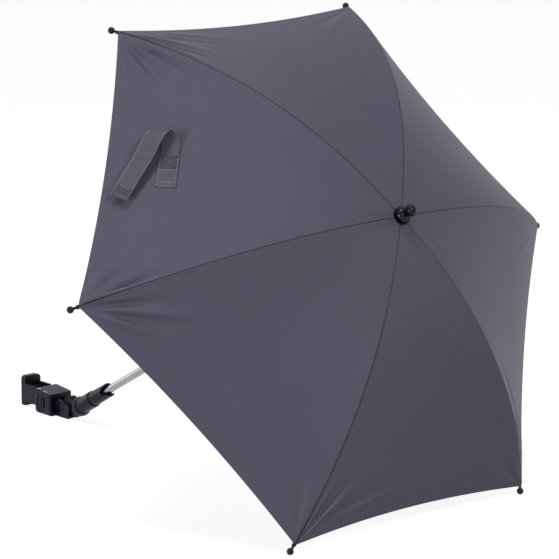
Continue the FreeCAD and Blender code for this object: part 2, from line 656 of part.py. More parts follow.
def make_strap():
    """The patch, the looped webbing that rises from it, and a fastener square on each."""
    base = PATCH_GAP + PATCH_THICKNESS
    half = Vector(PATCH_LENGTH / 2, PATCH_WIDTH / 2, 0)
    patch = box(Vector(0, 0, PATCH_GAP) - half, Vector(0, 0, base) + half)
    edge = Vector(-PATCH_LENGTH / 2, 0, base + STRAP_THICKNESS / 2)
    run = [edge + Vector(*point) for point in STRAP_RUN]
    places = [strap_place(*spots) for spots in zip(run[:1] + run[:-1], run, run[1:] + run[-1:])]
    webbing = make_webbing(places)
    square = Vector(FASTENER_LENGTH / 2, FASTENER_SIDE / 2, 0)
    soft_at = Vector(run[0].x + STRAP_THICKNESS + FASTENER_LENGTH / 2, 0, base)
    soft = box(soft_at - square, soft_at + square + Vector(0, 0, FASTENER_THICKNESS))
    face = STRAP_THICKNESS / 2 + PATCH_GAP
    hook = box(Vector(-FASTENER_LENGTH - STRAP_THICKNESS, -FASTENER_SIDE / 2, face),
               Vector(-STRAP_THICKNESS, FASTENER_SIDE / 2, face + FASTENER_THICKNESS))
    return patch, webbing, soft, placed(hook, places[-1])


def obround(width, length, depth):
    """An upright slot shape in the XZ plane, thickened along Y from that plane."""
    half = (length - width) / 2
    bar = box(Vector(-width / 2, 0, -half), Vector(width / 2, depth, half))
    ends = [rod(width / 2, Vector(0, 0, z), Vector(0, depth, z)) for z in (-half, half)]
    return bar.fuse(ends).removeSplitter()


def make_button(side):
    """A flanged release button, its leaf spring, and the pocket they need, on one side of the housing."""
    face = HOUSING_HALF_WIDTH
    seat = Vector(HOUSING_REAR + BUTTON_FROM_REAR, 0, BUTTON_HEIGHT_AT)
    lip = face - BUTTON_LIP
    floor = face - BUTTON_POCKET_DEPTH
    flange_top = lip - BUTTON_CLEARANCE / 2
    flange_low = flange_top - BUTTON_FLANGE_THICKNESS
    grow = 2 * BUTTON_FLANGE
    slack = 2 * BUTTON_CLEARANCE
    plug = obround(BUTTON_WIDTH, BUTTON_LENGTH, face + BUTTON_PROUD - flange_low)
    button = plug.fuse(obround(BUTTON_WIDTH + grow, BUTTON_LENGTH + grow, BUTTON_FLANGE_THICKNESS))
    button.translate(seat + Vector(0, flange_low, 0))
    groove = obround(BUTTON_SLOT_WIDTH, BUTTON_LENGTH - BUTTON_WIDTH / 2, BUTTON_SLOT_DEPTH + OVERRUN)
    groove.translate(seat + Vector(0, face + BUTTON_PROUD - BUTTON_SLOT_DEPTH, 0))
    button = button.cut(groove)
    mouth = obround(BUTTON_WIDTH + slack, BUTTON_LENGTH + slack, BUTTON_LIP + OVERRUN)
    mouth.translate(seat + Vector(0, lip, 0))
    cavity = obround(BUTTON_WIDTH + grow + slack, BUTTON_LENGTH + grow + slack, lip - floor)
    cavity.translate(seat + Vector(0, floor, 0))
    dish = rod(DISH_RADIUS, seat + Vector(0, face - DISH_DEPTH, 0), seat + Vector(0, face + OVERRUN, 0))
    half = SPRING_LENGTH / 2
    low = floor + SPRING_SEAT_GAP
    crest = flange_low - SPRING_SEAT_GAP
    high = low + SPRING_THICKNESS
    outer = Part.Arc(Vector(0, high, -half), Vector(0, crest, 0), Vector(0, high, half))
    inner = Part.Arc(Vector(0, low, half), Vector(0, crest - SPRING_THICKNESS, 0), Vector(0, low, -half))
    ends = [Part.makeLine(inner.EndPoint, outer.StartPoint), Part.makeLine(outer.EndPoint, inner.StartPoint)]
    leaf = Part.Face(Part.Wire([ends[0], outer.toShape(), ends[1], inner.toShape()]))
    leaf.translate(seat - Vector(SPRING_WIDTH / 2, 0, 0))
    spring = leaf.extrude(Vector(SPRING_WIDTH, 0, 0))
    shapes = [button, spring, mouth.fuse([cavity, dish])]
    if side < 0:
        shapes = [shape.mirror(Vector(0, 0, 0), Y_AXIS) for shape in shapes]
    return shapes


def screw_places():
    """Feet of the four cover screws on the housing's underside."""
    return [Vector(x, y, -FLOOR_DROP)
            for x in (HOUSING_REAR + SCREW_INSET, HOUSING_FRONT - SCREW_INSET)
            for y in (-SCREW_SIDE, SCREW_SIDE)]


def cover_line(x):
    """Height of the joint between housing and cover at a place along the clamp."""
    share = (x - HOUSING_REAR) / HOUSING_LENGTH
    return HOUSING_REAR_TOP + (HOUSING_FRONT_TOP - HOUSING_REAR_TOP) * share - COVER_THICKNESS


def make_screws():
    """The cover screws as one group of separate solids."""
    screws = []
    for foot in screw_places():
        head_low = foot + Vector(0, 0, SCREW_HEAD_DEPTH)
        head_top = head_low + Vector(0, 0, SCREW_HEAD_HEIGHT)
        tip = Vector(foot.x, foot.y, cover_line(foot.x) + SCREW_BITE)
        screws.append(rod(SCREW_HEAD_RADIUS, head_low, head_top).fuse(rod(SCREW_RADIUS, head_top, tip)))
    return Part.makeCompound(screws)


def screw_holes():
    """Clearance holes and head recesses for the cover screws, in the housing and the cover."""
    holes = []
    for foot in screw_places():
        recess_top = foot + Vector(0, 0, SCREW_HEAD_DEPTH + SCREW_HEAD_HEIGHT)
        tip = Vector(foot.x, foot.y, cover_line(foot.x) + SCREW_BITE)
        recess = rod(SCREW_HEAD_RADIUS + SCREW_CLEARANCE, foot - Vector(0, 0, OVERRUN), recess_top)
        holes.append(recess.fuse(rod(SCREW_RADIUS + SCREW_CLEARANCE, foot, tip)))
    return holes


def make_cover():
    """The sloping cover plate on top of the housing."""
    low = [Vector(x, 0, cover_line(x)) for x in (HOUSING_REAR, HOUSING_FRONT)]
    lift = Vector(0, 0, COVER_THICKNESS)
    cover = plate([low[0], low[1], low[1] + lift, low[0] + lift], 2 * HOUSING_HALF_WIDTH)
    cover = cover.makeFillet(HOUSING_EDGE, edges_along(cover, Z_AXIS, lambda c: True))
    over = COVER_THICKNESS / 2 + SAME_PLACE
    middles = [(edge, edge.CenterOfMass) for edge in cover.Edges]
    rims = [edge for edge, middle in middles if middle.z > cover_line(middle.x) + over]
    return cover.makeFillet(COVER_EDGE, rims).cut(screw_holes())


def make_fork_cheek(side):
    """One cheek of the fork that holds the elbow's drum, with a sloping top."""
    end = HOUSING_FRONT + FORK_REACH
    root = HOUSING_FRONT - HOUSING_EDGE
    outline = [Vector(root, 0, -FLOOR_DROP), Vector(end, 0, -FLOOR_DROP), Vector(end, 0, FORK_END_TOP),
               Vector(HOUSING_FRONT, 0, FORK_ROOT_TOP), Vector(root, 0, FORK_ROOT_TOP)]
    cheek = plate(outline, FORK_OUTER - FORK_INNER)
    nose = edges_along(cheek, Y_AXIS, lambda middle: middle.x > HOUSING_FRONT + FORK_EDGE)
    cheek = cheek.makeFillet(FORK_EDGE, nose)
    cheek.translate(Vector(0, side * (FORK_OUTER + FORK_INNER) / 2, 0))
    return cheek


def arm_channel(side):
    """The space in the housing that one arm of the jaw slides in."""
    middle = side * (ARM_INNER + ARM_THICKNESS / 2)
    half = ARM_THICKNESS / 2 + ARM_CLEARANCE
    low = Vector(HOUSING_REAR - OVERRUN, middle - half, ARM_LOW - ARM_CLEARANCE)
    return box(low, Vector(HOUSING_REAR + CHANNEL_REACH_IN, middle + half, ARM_HIGH_INSIDE + ARM_CLEARANCE))


def front_flutes(side):
    """The upright grooves in the housing's front, on one side of the fork."""
    flutes = []
    for number in range(FLUTE_COUNT):
        y = side * (HOUSING_HALF_WIDTH - HOUSING_EDGE - FLUTE_INSET - FLUTE_PITCH * number)
        low = Vector(HOUSING_FRONT - FLUTE_DEPTH, y - FLUTE_WIDTH / 2, FLUTE_MARGIN - FLOOR_DROP)
        high = Vector(HOUSING_FRONT + OVERRUN, y + FLUTE_WIDTH / 2, cover_line(HOUSING_FRONT) - FLUTE_MARGIN)
        flutes.append(box(low, high))
    return flutes


def make_housing(pockets):
    """The clamp housing with its fork, arm channels, button pockets and fluted front."""
    rear_top = Vector(HOUSING_REAR, 0, cover_line(HOUSING_REAR))
    front_top = Vector(HOUSING_FRONT, 0, cover_line(HOUSING_FRONT))
    front_low = Vector(HOUSING_FRONT, 0, -FLOOR_DROP)
    rear_low = Vector(HOUSING_REAR, 0, -FLOOR_DROP)
    body = plate([rear_low, front_low, front_top, rear_top], 2 * HOUSING_HALF_WIDTH)
    heel = edges_along(body, Y_AXIS, lambda middle: middle.x < HOUSING_FRONT and middle.z < 0)
    body = body.makeFillet(HOUSING_HEEL, heel)
    body = body.makeFillet(HOUSING_EDGE, edges_along(body, Z_AXIS, lambda middle: True))
    for side in (-1, 1):
        body = body.fuse(make_fork_cheek(side)).cut(arm_channel(side))
        body = body.cut(front_flutes(side))
    body = body.cut(cross_rod(PIN_RADIUS, PIVOT, 2 * FORK_OUTER + OVERRUN))
    return body.cut(pockets + screw_holes()).removeSplitter()


def make_jaw():
    """The hook jaw: an end plate with two toothed arms that slide into the housing."""
    outer = ARM_INNER + ARM_THICKNESS
    back = -HOUSING_REAR - JAW_PLATE_THICKNESS
    jaw = box(Vector(back, -outer, JAW_PLATE_LOW), Vector(-HOUSING_REAR, outer, JAW_PLATE_HIGH))
    corners = edges_along(jaw, Vector(1, 0, 0), lambda c: c.z > 0)
    jaw = jaw.makeFillet(JAW_PLATE_CORNER, corners)
    rims = [e for e in jaw.Edges if abs(e.CenterOfMass.x - back) < SAME_PLACE]
    jaw = jaw.makeFillet(JAW_PLATE_EDGE, rims)
    step = HOUSING_REAR - ARM_STEP_BACK
    end = HOUSING_REAR + ARM_REACH_IN
    for side in (-1, 1):
        low, high = sorted((side * ARM_INNER, side * outer))
        jaw = jaw.fuse([box(Vector(-HOUSING_REAR, low, ARM_LOW), Vector(step, high, ARM_HIGH_OUTSIDE)),
                        box(Vector(step, low, ARM_LOW), Vector(end, high, ARM_HIGH_INSIDE))])
        for number in range(TOOTH_COUNT):
            x = end - TOOTH_INSET - TOOTH_PITCH * number
            notch = [Vector(x, 0, ARM_LOW - OVERRUN), Vector(x, 0, ARM_LOW + TOOTH_DEPTH),
                     Vector(x - TOOTH_PITCH, 0, ARM_LOW), Vector(x - TOOTH_PITCH, 0, ARM_LOW - OVERRUN)]
            tooth = plate(notch, ARM_THICKNESS + OVERRUN)
            tooth.translate(Vector(0, (low + high) / 2, 0))
            jaw = jaw.cut(tooth)
    return jaw.removeSplitter()


def make_pad(side):
    """A rubber pad hollowed to the gripped tube, on one side of it."""
    low, high = sorted((side * PAD_REACH, side * HOUSING_REAR))
    pad = box(Vector(low, -PAD_HALF_WIDTH, -PAD_HALF_HEIGHT), Vector(high, PAD_HALF_WIDTH, PAD_HALF_HEIGHT))
    return pad.cut(shaft_rod(GRIP_RADIUS, -PAD_HALF_HEIGHT - OVERRUN, PAD_HALF_HEIGHT + OVERRUN))


def make_elbow():
    """The elbow: ridged hinge drum, neck and shaft socket with a spigot for the collar."""
    pivot = SHAFT_FRAME.inverse().multVec(PIVOT)
    width = 2 * (FORK_INNER - DRUM_SIDE_GAP)
    drum = cross_rod(DRUM_RADIUS, pivot, width)
    for number in range(RIDGE_COUNT):
        angle = math.radians(RIDGE_FIRST_ANGLE + RIDGE_STEP_ANGLE * number)
        spot = PIVOT + Vector(math.cos(angle), 0, math.sin(angle)) * DRUM_RADIUS
        drum = drum.fuse(cross_rod(RIDGE_RADIUS, SHAFT_FRAME.inverse().multVec(spot), width))
    rim = [pivot + Vector(math.cos(math.radians(a)), 0, math.sin(math.radians(a))) * DRUM_RADIUS
           for a in (NECK_LOW_ANGLE, NECK_HIGH_ANGLE)]
    neck = plate([Vector(-SOCKET_RADIUS, 0, NECK_OVERLAP), Vector(SOCKET_RADIUS, 0, NECK_OVERLAP),
                  Vector(SOCKET_RADIUS, 0, 0), rim[0], pivot, rim[1], Vector(-SOCKET_RADIUS, 0, 0)], width)
    socket = shaft_rod(SOCKET_RADIUS, 0, SOCKET_LENGTH)
    socket = socket.makeFillet(SOCKET_HEEL, round_edges_at(socket, 0))
    socket = socket.makeChamfer(SOCKET_MOUTH_EDGE, round_edges_at(socket, SOCKET_LENGTH))
    spigot_top = SOCKET_LENGTH + SPIGOT_LENGTH
    spigot = shaft_rod(SPIGOT_RADIUS, SOCKET_LENGTH, spigot_top)
    bulge = Part.makeSphere(BULGE_RADIUS, Vector(0, 0, BULGE_ALONG))
    elbow = socket.fuse([spigot, neck, drum, bulge])
    bush_radius = SHAFT_RADIUS + BUSH_CLEARANCE + BUSH_WALL
    elbow = elbow.cut(shaft_rod(bush_radius, BUSH_SEAT, spigot_top + OVERRUN))
    return elbow.cut(cross_rod(PIN_RADIUS + PIN_CLEARANCE, pivot, width + OVERRUN)).removeSplitter()


def make_bush():
    """The nylon liner of the socket that the shaft slides in."""
    inner = SHAFT_RADIUS + BUSH_CLEARANCE
    return tube(inner + BUSH_WALL, inner, BUSH_SEAT, SOCKET_LENGTH + SPIGOT_LENGTH + BUSH_PROUD)


def make_collar():
    """The locking collar with a rounded notch across its mouth that leaves two ears."""
    low = SOCKET_LENGTH + COLLAR_GAP
    top = low + COLLAR_LENGTH
    collar = Part.makeCone(COLLAR_RADIUS, COLLAR_MOUTH_RADIUS, COLLAR_LENGTH, Vector(0, 0, low))
    collar = collar.makeChamfer(COLLAR_EDGE, round_edges_at(collar, low))
    step = SOCKET_LENGTH + SPIGOT_LENGTH + COLLAR_STEP_GAP
    collar = collar.cut(shaft_rod(SPIGOT_RADIUS + COLLAR_CLEARANCE, low - OVERRUN, step))
    collar = collar.cut(shaft_rod(COLLAR_BORE_RADIUS, low, top + OVERRUN))
    round_at = top - NOTCH_DEPTH + NOTCH_WIDTH / 2
    across = 2 * COLLAR_RADIUS + OVERRUN
    half = NOTCH_WIDTH / 2
    notch = box(Vector(-half, -across / 2, round_at), Vector(half, across / 2, top + OVERRUN))
    return collar.cut(notch.fuse(cross_rod(NOTCH_WIDTH / 2, Vector(0, 0, round_at), across)))


def build():
    """All pieces of the parasol in the row frame, by name."""
    parts = {}
    gore = make_gore()
    per_rib = {"rib": make_rib(), "tip_cap": make_tip_cap(), "stretcher": make_stretcher()}
    for index in range(RIB_COUNT):
        number = index + 1
        for name, shape in per_rib.items():
            parts[f"{name}_{number}"] = placed(turned(shape, rib_angle(index)), CROWN_FRAME)
        parts[f"canopy_panel_{number}"] = placed(make_panel(index, gore), CROWN_FRAME)
    parts["crown"] = placed(make_crown(), CROWN_FRAME)
    parts["crown_tie_wire"] = placed(wire_ring(-CROWN_PIVOT_DROP), CROWN_FRAME)
    parts["runner"] = placed(make_runner(), CROWN_FRAME)
    parts["runner_bush"] = placed(make_runner_bush(), CROWN_FRAME)
    parts["runner_tie_wire"] = placed(wire_ring(RUNNER_PIVOT_HEIGHT), CROWN_FRAME)
    for name, shape in zip(("cloth_washer", "ferrule_base", "ferrule_knob"), make_ferrule()):
        parts[name] = placed(shape, CROWN_FRAME)
    for name, shape in zip(("shaft_tube", "stop_ring", "stop_pin"), make_shaft_and_stop()):
        parts[name] = placed(shape, SHAFT_FRAME)
    for name, shape in zip(("shaft_end_plug", "shaft_top_plug"), make_shaft_plugs()):
        parts[name] = placed(shape, SHAFT_FRAME)
    strap_names = ("strap_patch", "strap_webbing", "strap_soft_fastener", "strap_hook_fastener")
    for name, shape in zip(strap_names, make_strap()):
        parts[name] = placed(placed(shape, strap_frame()), CROWN_FRAME)
    pockets = []
    for name, side in (("near", -1), ("far", 1)):
        parts[f"release_button_{name}"], parts[f"button_spring_{name}"], pocket = make_button(side)
        pockets.append(pocket)
    parts["clamp_housing"] = make_housing(pockets)
    parts["clamp_cover"] = make_cover()
    parts["cover_screws"] = make_screws()
    parts["housing_pad"] = make_pad(1)
    parts["hook_jaw"] = make_jaw()
    parts["jaw_pad"] = make_pad(-1)
    parts["hinge_pin"] = cross_rod(PIN_RADIUS, PIVOT, 2 * FORK_OUTER)
    parts["elbow"] = placed(make_elbow(), SHAFT_FRAME)
    parts["socket_bush"] = placed(make_bush(), SHAFT_FRAME)
    parts["locking_collar"] = placed(make_collar(), SHAFT_FRAME)
    return parts


os.makedirs("parts", exist_ok=True)
for node, solid in build().items():
    solid.exportStep(f"parts/{node}.step")
    print(node, "solids", len(solid.Solids), "valid", solid.isValid(), "volume", round(solid.Volume, 1))
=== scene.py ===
"""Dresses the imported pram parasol: its cloth, tie strap, finishes, stage, light and camera."""

import logging
import math
from dataclasses import dataclass
from enum import Enum
from typing import Iterable, Sequence

import bpy
import numpy as np
from mathutils import Matrix, Vector


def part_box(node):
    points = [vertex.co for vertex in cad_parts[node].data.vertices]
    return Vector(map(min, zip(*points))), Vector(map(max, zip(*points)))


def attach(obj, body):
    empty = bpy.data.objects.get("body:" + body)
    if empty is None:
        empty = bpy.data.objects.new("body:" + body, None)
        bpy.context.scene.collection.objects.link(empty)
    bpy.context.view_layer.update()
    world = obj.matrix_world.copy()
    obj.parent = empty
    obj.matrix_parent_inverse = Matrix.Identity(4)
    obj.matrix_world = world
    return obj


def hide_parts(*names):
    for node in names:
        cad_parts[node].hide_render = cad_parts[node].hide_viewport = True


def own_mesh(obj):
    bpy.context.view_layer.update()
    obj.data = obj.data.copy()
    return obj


Array = np.ndarray
Piece = bpy.types.Object
Socket = bpy.types.NodeSocket
Tree = bpy.types.NodeTree
Span = tuple[float, float]
Point = tuple[float, float, float]

LOG = logging.getLogger("pram_parasol")
MM = 0.001
SHADER = "Principled BSDF"
WHITE = (1.0, 1.0, 1.0, 1.0)
# Lean of the shaft over the level, in radians.
SHAFT_LEAN = math.radians(29.4)
# Radians that a wave texture runs through per unit of its scaled coordinate.
WAVE_RADIANS = 20.0


class Slot(Enum):
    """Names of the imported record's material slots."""

    CLOTH = "canopy_cloth"
    WEBBING = "strap_webbing"
    FASTENER = "fastener"
    MATTE = "matte_black"


def linear(hex_colour: str) -> tuple[float, float, float, float]:
    """Turns an sRGB hex colour into linear RGBA.

    Args:
        hex_colour: Six hex digits after a hash.

    Returns:
        Linear red, green, blue and an alpha of 1.
    """
    parts = [int(hex_colour[i:i + 2], 16) / 255 for i in (1, 3, 5)]
    red, green, blue = [p / 12.92 if p <= 0.04045 else ((p + 0.055) / 1.055) ** 2.4 for p in parts]
    return red, green, blue, 1.0


def add_node(tree: Tree, kind: str, inputs: dict, **settings: object) -> bpy.types.Node:
    """Adds a shader node with its settings and links.

    Args:
        tree: The tree that takes the node.
        kind: The node's type, without the words that all types start with.
        inputs: A value, or another node's output to link, for each named or numbered input.
        **settings: Properties of the node itself.

    Returns:
        The new node.
    """
    node = tree.nodes.new("ShaderNode" + kind)
    for name, value in settings.items():
        setattr(node, name, value)
    for key, value in inputs.items():
        if isinstance(value, Socket):
            tree.links.new(value, node.inputs[key])
        else:
            node.inputs[key].default_value = value
    return node


def set_shader(tree: Tree, values: dict) -> None:
    """Sets plain values on the sockets of the tree's own shader."""
    for name, value in values.items():
        tree.nodes[SHADER].inputs[name].default_value = value


def feed(tree: Tree, socket: str, output: Socket) -> None:
    """Links an output to a socket of the tree's own shader."""
    tree.links.new(output, tree.nodes[SHADER].inputs[socket])


def maths(tree: Tree, operation: str, *values: float | Socket) -> Socket:
    """Result of a math node."""
    return add_node(tree, "Math", dict(enumerate(values)), operation=operation).outputs[0]


def ramp(tree: Tree, value: Socket, low: float, high: float | Socket, first: float = 0.0, last: float = 1.0,
         **settings: str) -> Socket:
    """Result of a node that maps the range from low to high onto the one from first to last."""
    inputs = {"Value": value, "From Min": low, "From Max": high, "To Min": first, "To Max": last}
    return add_node(tree, "MapRange", inputs, **settings).outputs[0]


def mix(tree: Tree, share: Socket, first: object, second: object) -> Socket:
    """Colour between two colours, by a share."""
    return add_node(tree, "Mix", {0: share, 6: first, 7: second}, data_type="RGBA").outputs[2]


def grain_scale(size_mm: float) -> float:
    """Texture scale whose grains have a size, on coordinates in metres."""
    return 1 / (size_mm * MM)


def noise(tree: Tree, place: Socket, size_mm: float, detail: float, roughness: float) -> Socket:
    """Grey noise whose grains have a size."""
    inputs = {"Vector": place, "Scale": grain_scale(size_mm), "Detail": detail, "Roughness": roughness}
    return add_node(tree, "TexNoise", inputs).outputs["Fac"]


def own_place(tree: Tree) -> Socket:
    """Place on the piece in its own coordinates."""
    return add_node(tree, "TexCoord", {}).outputs["Object"]


def seen_share(tree: Tree) -> Socket:
    """Tells what is looked at from what only gives light.

    Args:
        tree: Node tree of a backdrop or the world.

    Returns:
        Output that is 1 to the camera, in mirrors and through glass, and 0 elsewhere.
    """
    path = add_node(tree, "LightPath", {}).outputs
    seen = maths(tree, "MAXIMUM", path["Is Camera Ray"], path["Is Glossy Ray"])
    return maths(tree, "MAXIMUM", seen, path["Is Transmission Ray"])


@dataclass(frozen=True)
class Finish:
    """A finish: the real material, its colours, and the plain values of its shader."""

    name: str
    colour: str
    second_colour: str
    roughness: float
    ior: float = 1.5
    metallic: float = 0.0
    sheen: float = 0.0
    sheen_roughness: float = 0.5
    coat: float = 0.0
    coat_roughness: float = 0.1
    anisotropy: float = 0.0
    specular: float = 0.5

    def material(self) -> bpy.types.Material:
        """Makes the material once and hands it out again afterwards.

        Returns:
            The finished material.
        """
        known = bpy.data.materials.get(self.name)
        if known:
            return known
        made = bpy.data.materials.new(self.name)
        made.use_nodes = True
        made.diffuse_color = linear(self.colour)
        set_shader(made.node_tree, {
            "Base Color": linear(self.colour), "Roughness": self.roughness, "IOR": self.ior,
            "Metallic": self.metallic, "Sheen Weight": self.sheen, "Sheen Roughness": self.sheen_roughness,
            "Coat Weight": self.coat, "Coat Roughness": self.coat_roughness, "Anisotropic": self.anisotropy,
            "Specular IOR Level": self.specular})
        self.pattern(made.node_tree)
        return made

    def pattern(self, tree: Tree) -> None:
        """Links the surface pattern to the shader; each kind of finish has its own."""
        raise NotImplementedError

    def tint(self, tree: Tree, share: Socket) -> None:
        """Mixes the two colours of the finish by a share of the second."""
        feed(tree, "Base Color", mix(tree, share, linear(self.colour), linear(self.second_colour)))

    def relief(self, tree: Tree, height: Socket, depth_mm: float, strength: float) -> None:
        """Adds a bump of a real depth from a height between 0 and 1."""
        inputs = {"Height": height, "Distance": depth_mm * MM, "Strength": strength}
        feed(tree, "Normal", add_node(tree, "Bump", inputs).outputs["Normal"])


@dataclass(frozen=True)
class WovenFinish(Finish):
    """Woven goods: crossing threads on the piece's own thread directions, and soft unevenness."""

    thread_mm: float = 1.0
    thread_depth_mm: float = 0.1
    thread_strength: float = 0.5
    cloud_mm: float = 60.0
    cloud_share: float = 0.75
    tint_range: Span = (0.2, 1.3)
    painted_seam_shade_mm: float = 0.0
    tip_reach_mm: float = 70.0
    tip_growth: float = 2.0
    painted_seam_shade_colour: str = "#000000"

    def pattern(self, tree: Tree) -> None:
        """Threads both ways, a cloudy tint, and painted shade in the seams.

        Args:
            tree: The material's node tree.
        """
        threads = add_node(tree, "UVMap", {}, uv_map="threads").outputs["UV"]
        wave = {"Vector": threads, "Scale": 2 * math.pi / (WAVE_RADIANS * self.thread_mm * MM)}
        ways = [add_node(tree, "TexWave", wave, bands_direction=way).outputs["Fac"] for way in "XY"]
        weave = maths(tree, "MULTIPLY", *ways)
        self.relief(tree, weave, self.thread_depth_mm, self.thread_strength)
        cloud = noise(tree, own_place(tree), self.cloud_mm, detail=4.0, roughness=0.6)
        share = maths(tree, "MULTIPLY_ADD", cloud, self.cloud_share, weave)
        self.tint(tree, ramp(tree, share, *self.tint_range))
        if self.painted_seam_shade_mm:
            self.paint_seam_shade(tree)

    def paint_seam_shade(self, tree: Tree) -> None:
        """Darkens the bottom of the seams, where little light falls, and more so towards the tips.

        Args:
            tree: The material's node tree.
        """
        margins = add_node(tree, "UVMap", {}, uv_map="margins").outputs["UV"]
        aside, to_hem = add_node(tree, "SeparateXYZ", {0: margins}).outputs[:2]
        line = self.painted_seam_shade_mm * MM
        reach = ramp(tree, to_hem, 0.0, self.tip_reach_mm * MM, self.tip_growth * line, line)
        near = ramp(tree, aside, 0.0, reach, 1.0, 0.0, interpolation_type="SMOOTHSTEP")
        tint = tree.nodes[SHADER].inputs["Base Color"].links[0].from_socket
        feed(tree, "Base Color", mix(tree, near, tint, linear(self.painted_seam_shade_colour)))


@dataclass(frozen=True)
class GrainedFinish(Finish):
    """Moulded or drawn goods: a fine grain in the surface and a slow change of gloss."""

    grain_mm: float = 0.6
    grain_depth_mm: float = 0.05
    grain_strength: float = 0.4
    cloud_mm: float = 30.0
    tint_range: Span = (0.1, 0.4)
    gloss_range: Span = (0.25, 0.75)
    gloss_spread: float = 0.08
    stretch: Point = (1.0, 1.0, 1.0)
    lean: float = 0.0

    def pattern(self, tree: Tree) -> None:
        """Grain in the relief, slow clouds in the colour and the gloss.

        Args:
            tree: The material's node tree.
        """
        place = own_place(tree)
        turn = {"Vector": place, "Rotation": (0.0, self.lean, 0.0), "Scale": self.stretch}
        turned = add_node(tree, "Mapping", turn).outputs[0]
        grain = noise(tree, turned, self.grain_mm, detail=3.0, roughness=0.55)
        self.relief(tree, grain, self.grain_depth_mm, self.grain_strength)
        cloud = noise(tree, place, self.cloud_mm, detail=5.0, roughness=0.6)
        self.tint(tree, ramp(tree, maths(tree, "MULTIPLY", cloud, grain), *self.tint_range))
        gloss = (self.roughness - self.gloss_spread, self.roughness + self.gloss_spread)
        feed(tree, "Roughness", ramp(tree, cloud, *self.gloss_range, *gloss))


@dataclass(frozen=True)
class PileFinish(Finish):
    """Pile and felt: a dense cover of small loops, hooks or fibres."""

    pile_mm: float = 0.9
    pile_depth_mm: float = 0.8
    pile_strength: float = 0.9
    loop_edge: float = 0.7

    def pattern(self, tree: Tree) -> None:
        """Cells for the loops, with painted shade between them and painted light on their tops.

        Args:
            tree: The material's node tree.
        """
        inputs = {"Vector": own_place(tree), "Scale": grain_scale(self.pile_mm)}
        cells = add_node(tree, "TexVoronoi", inputs).outputs["Distance"]
        high = ramp(tree, cells, 0.0, self.loop_edge, 1.0, 0.0)
        self.relief(tree, high, self.pile_depth_mm, self.pile_strength)
        # Painted light and shade: the loops' tops take the lighter colour, the gaps between them the darker
        # one.
        self.tint(tree, high)


# Pongee polyester, dyed in the piece and calendered: dull grey violet with a soft sheen at a low angle.
# Its threads are about 0.2 mm apart and are drawn at 1.5 mm so that some weave shows.
# Its seams take a nearly black line of painted shade, wider near the tips.
PONGEE = WovenFinish(
    "pongee_polyester_woven", "#595566", "#625e6f", 0.62, 1.54, sheen=0.3, sheen_roughness=0.35, specular=0.2,
    thread_mm=1.5, thread_depth_mm=0.08, thread_strength=0.25, cloud_mm=70.0, painted_seam_shade_mm=1.1,
    painted_seam_shade_colour="#15131a")
# Polyester webbing, narrow woven: the cloth's colour with plain ribs and a dull face.
WEBBING = WovenFinish(
    "polyester_webbing_narrow_woven", "#54505e", "#6b6676", 0.7, 1.54, sheen=0.2, specular=0.25,
    thread_mm=1.4, thread_depth_mm=0.15, cloud_mm=20.0)
# Polyester sewing thread, twisted and waxed: pale grey, slightly glossy dashes.
THREAD = GrainedFinish(
    "polyester_thread_twisted", "#9a96a5", "#b2aebd", 0.5, 1.54, sheen=0.2, grain_mm=0.5)
# Nylon hook-and-loop tape, cut pile: dark and matt, with painted light on the loops' tops and painted shade
# between them.
TAPE = PileFinish(
    "nylon_hook_and_loop_tape_pile", "#3f3d46", "#7b7982", 0.85, 1.53, sheen=0.3, specular=0.2)
# Aluminium tube, drawn and anodised grey: a soft mid-grey mirror with faint lines along the tube.
TUBE = GrainedFinish(
    "aluminium_tube_drawn_anodised", "#909195", "#a6a7ab", 0.24, metallic=1.0, anisotropy=0.3, grain_mm=0.5,
    grain_depth_mm=0.01, grain_strength=0.25, cloud_mm=40.0, gloss_spread=0.05, stretch=(0.02, 1.0, 1.0),
    lean=SHAFT_LEAN)
# Steel pin, turned and black zinc plated: dark grey metal with a thin gloss.
STEEL = GrainedFinish(
    "steel_pin_black_zinc_plated", "#2b2b2e", "#3a3a3d", 0.38, metallic=0.9, grain_mm=0.8,
    grain_depth_mm=0.02, cloud_mm=25.0)
# Steel strip and wire, roll formed and bright zinc plated: pale grey metal, a little dull.
ZINC = GrainedFinish(
    "steel_strip_bright_zinc_plated", "#8f9194", "#a7a9ac", 0.33, metallic=1.0, grain_mm=0.7,
    grain_depth_mm=0.02, cloud_mm=15.0)
# ABS, moulded in a polished tool: deep black with sharp, slightly wavy highlights.
GLOSS_ABS = GrainedFinish(
    "abs_moulded_polished", "#030308", "#08080e", 0.14, 1.53, coat=0.35, coat_roughness=0.05, specular=0.06,
    grain_mm=2.5, grain_depth_mm=0.02, grain_strength=0.12, cloud_mm=12.0, gloss_spread=0.04)
# Glass-filled nylon, moulded in a spark-eroded tool: blue black with a fine matt grain.
# Its grain is about 0.3 mm and is drawn at 0.8 mm so that some of it shows.
NYLON = GrainedFinish(
    "glass_filled_nylon_spark_textured", "#0b0e19", "#181d2e", 0.34, 1.53, specular=0.15, grain_mm=0.8,
    grain_depth_mm=0.06, grain_strength=0.35, cloud_mm=18.0, gloss_spread=0.07)
# Plain nylon, moulded in a smooth tool: dark grey, waxy, with a soft wide highlight.
BUSH = GrainedFinish(
    "plain_nylon_moulded_smooth", "#27272a", "#333336", 0.42, 1.53, grain_mm=1.2, cloud_mm=15.0)
# Polyester felt, needle punched: the cloth's colour, deep and without gloss, with painted light on the
# fibres' tops and painted shade between them.
FELT = PileFinish(
    "polyester_felt_needle_punched", "#45424f", "#5f5b6b", 0.9, 1.53, sheen=0.3, specular=0.15, pile_mm=0.6,
    pile_depth_mm=0.3)
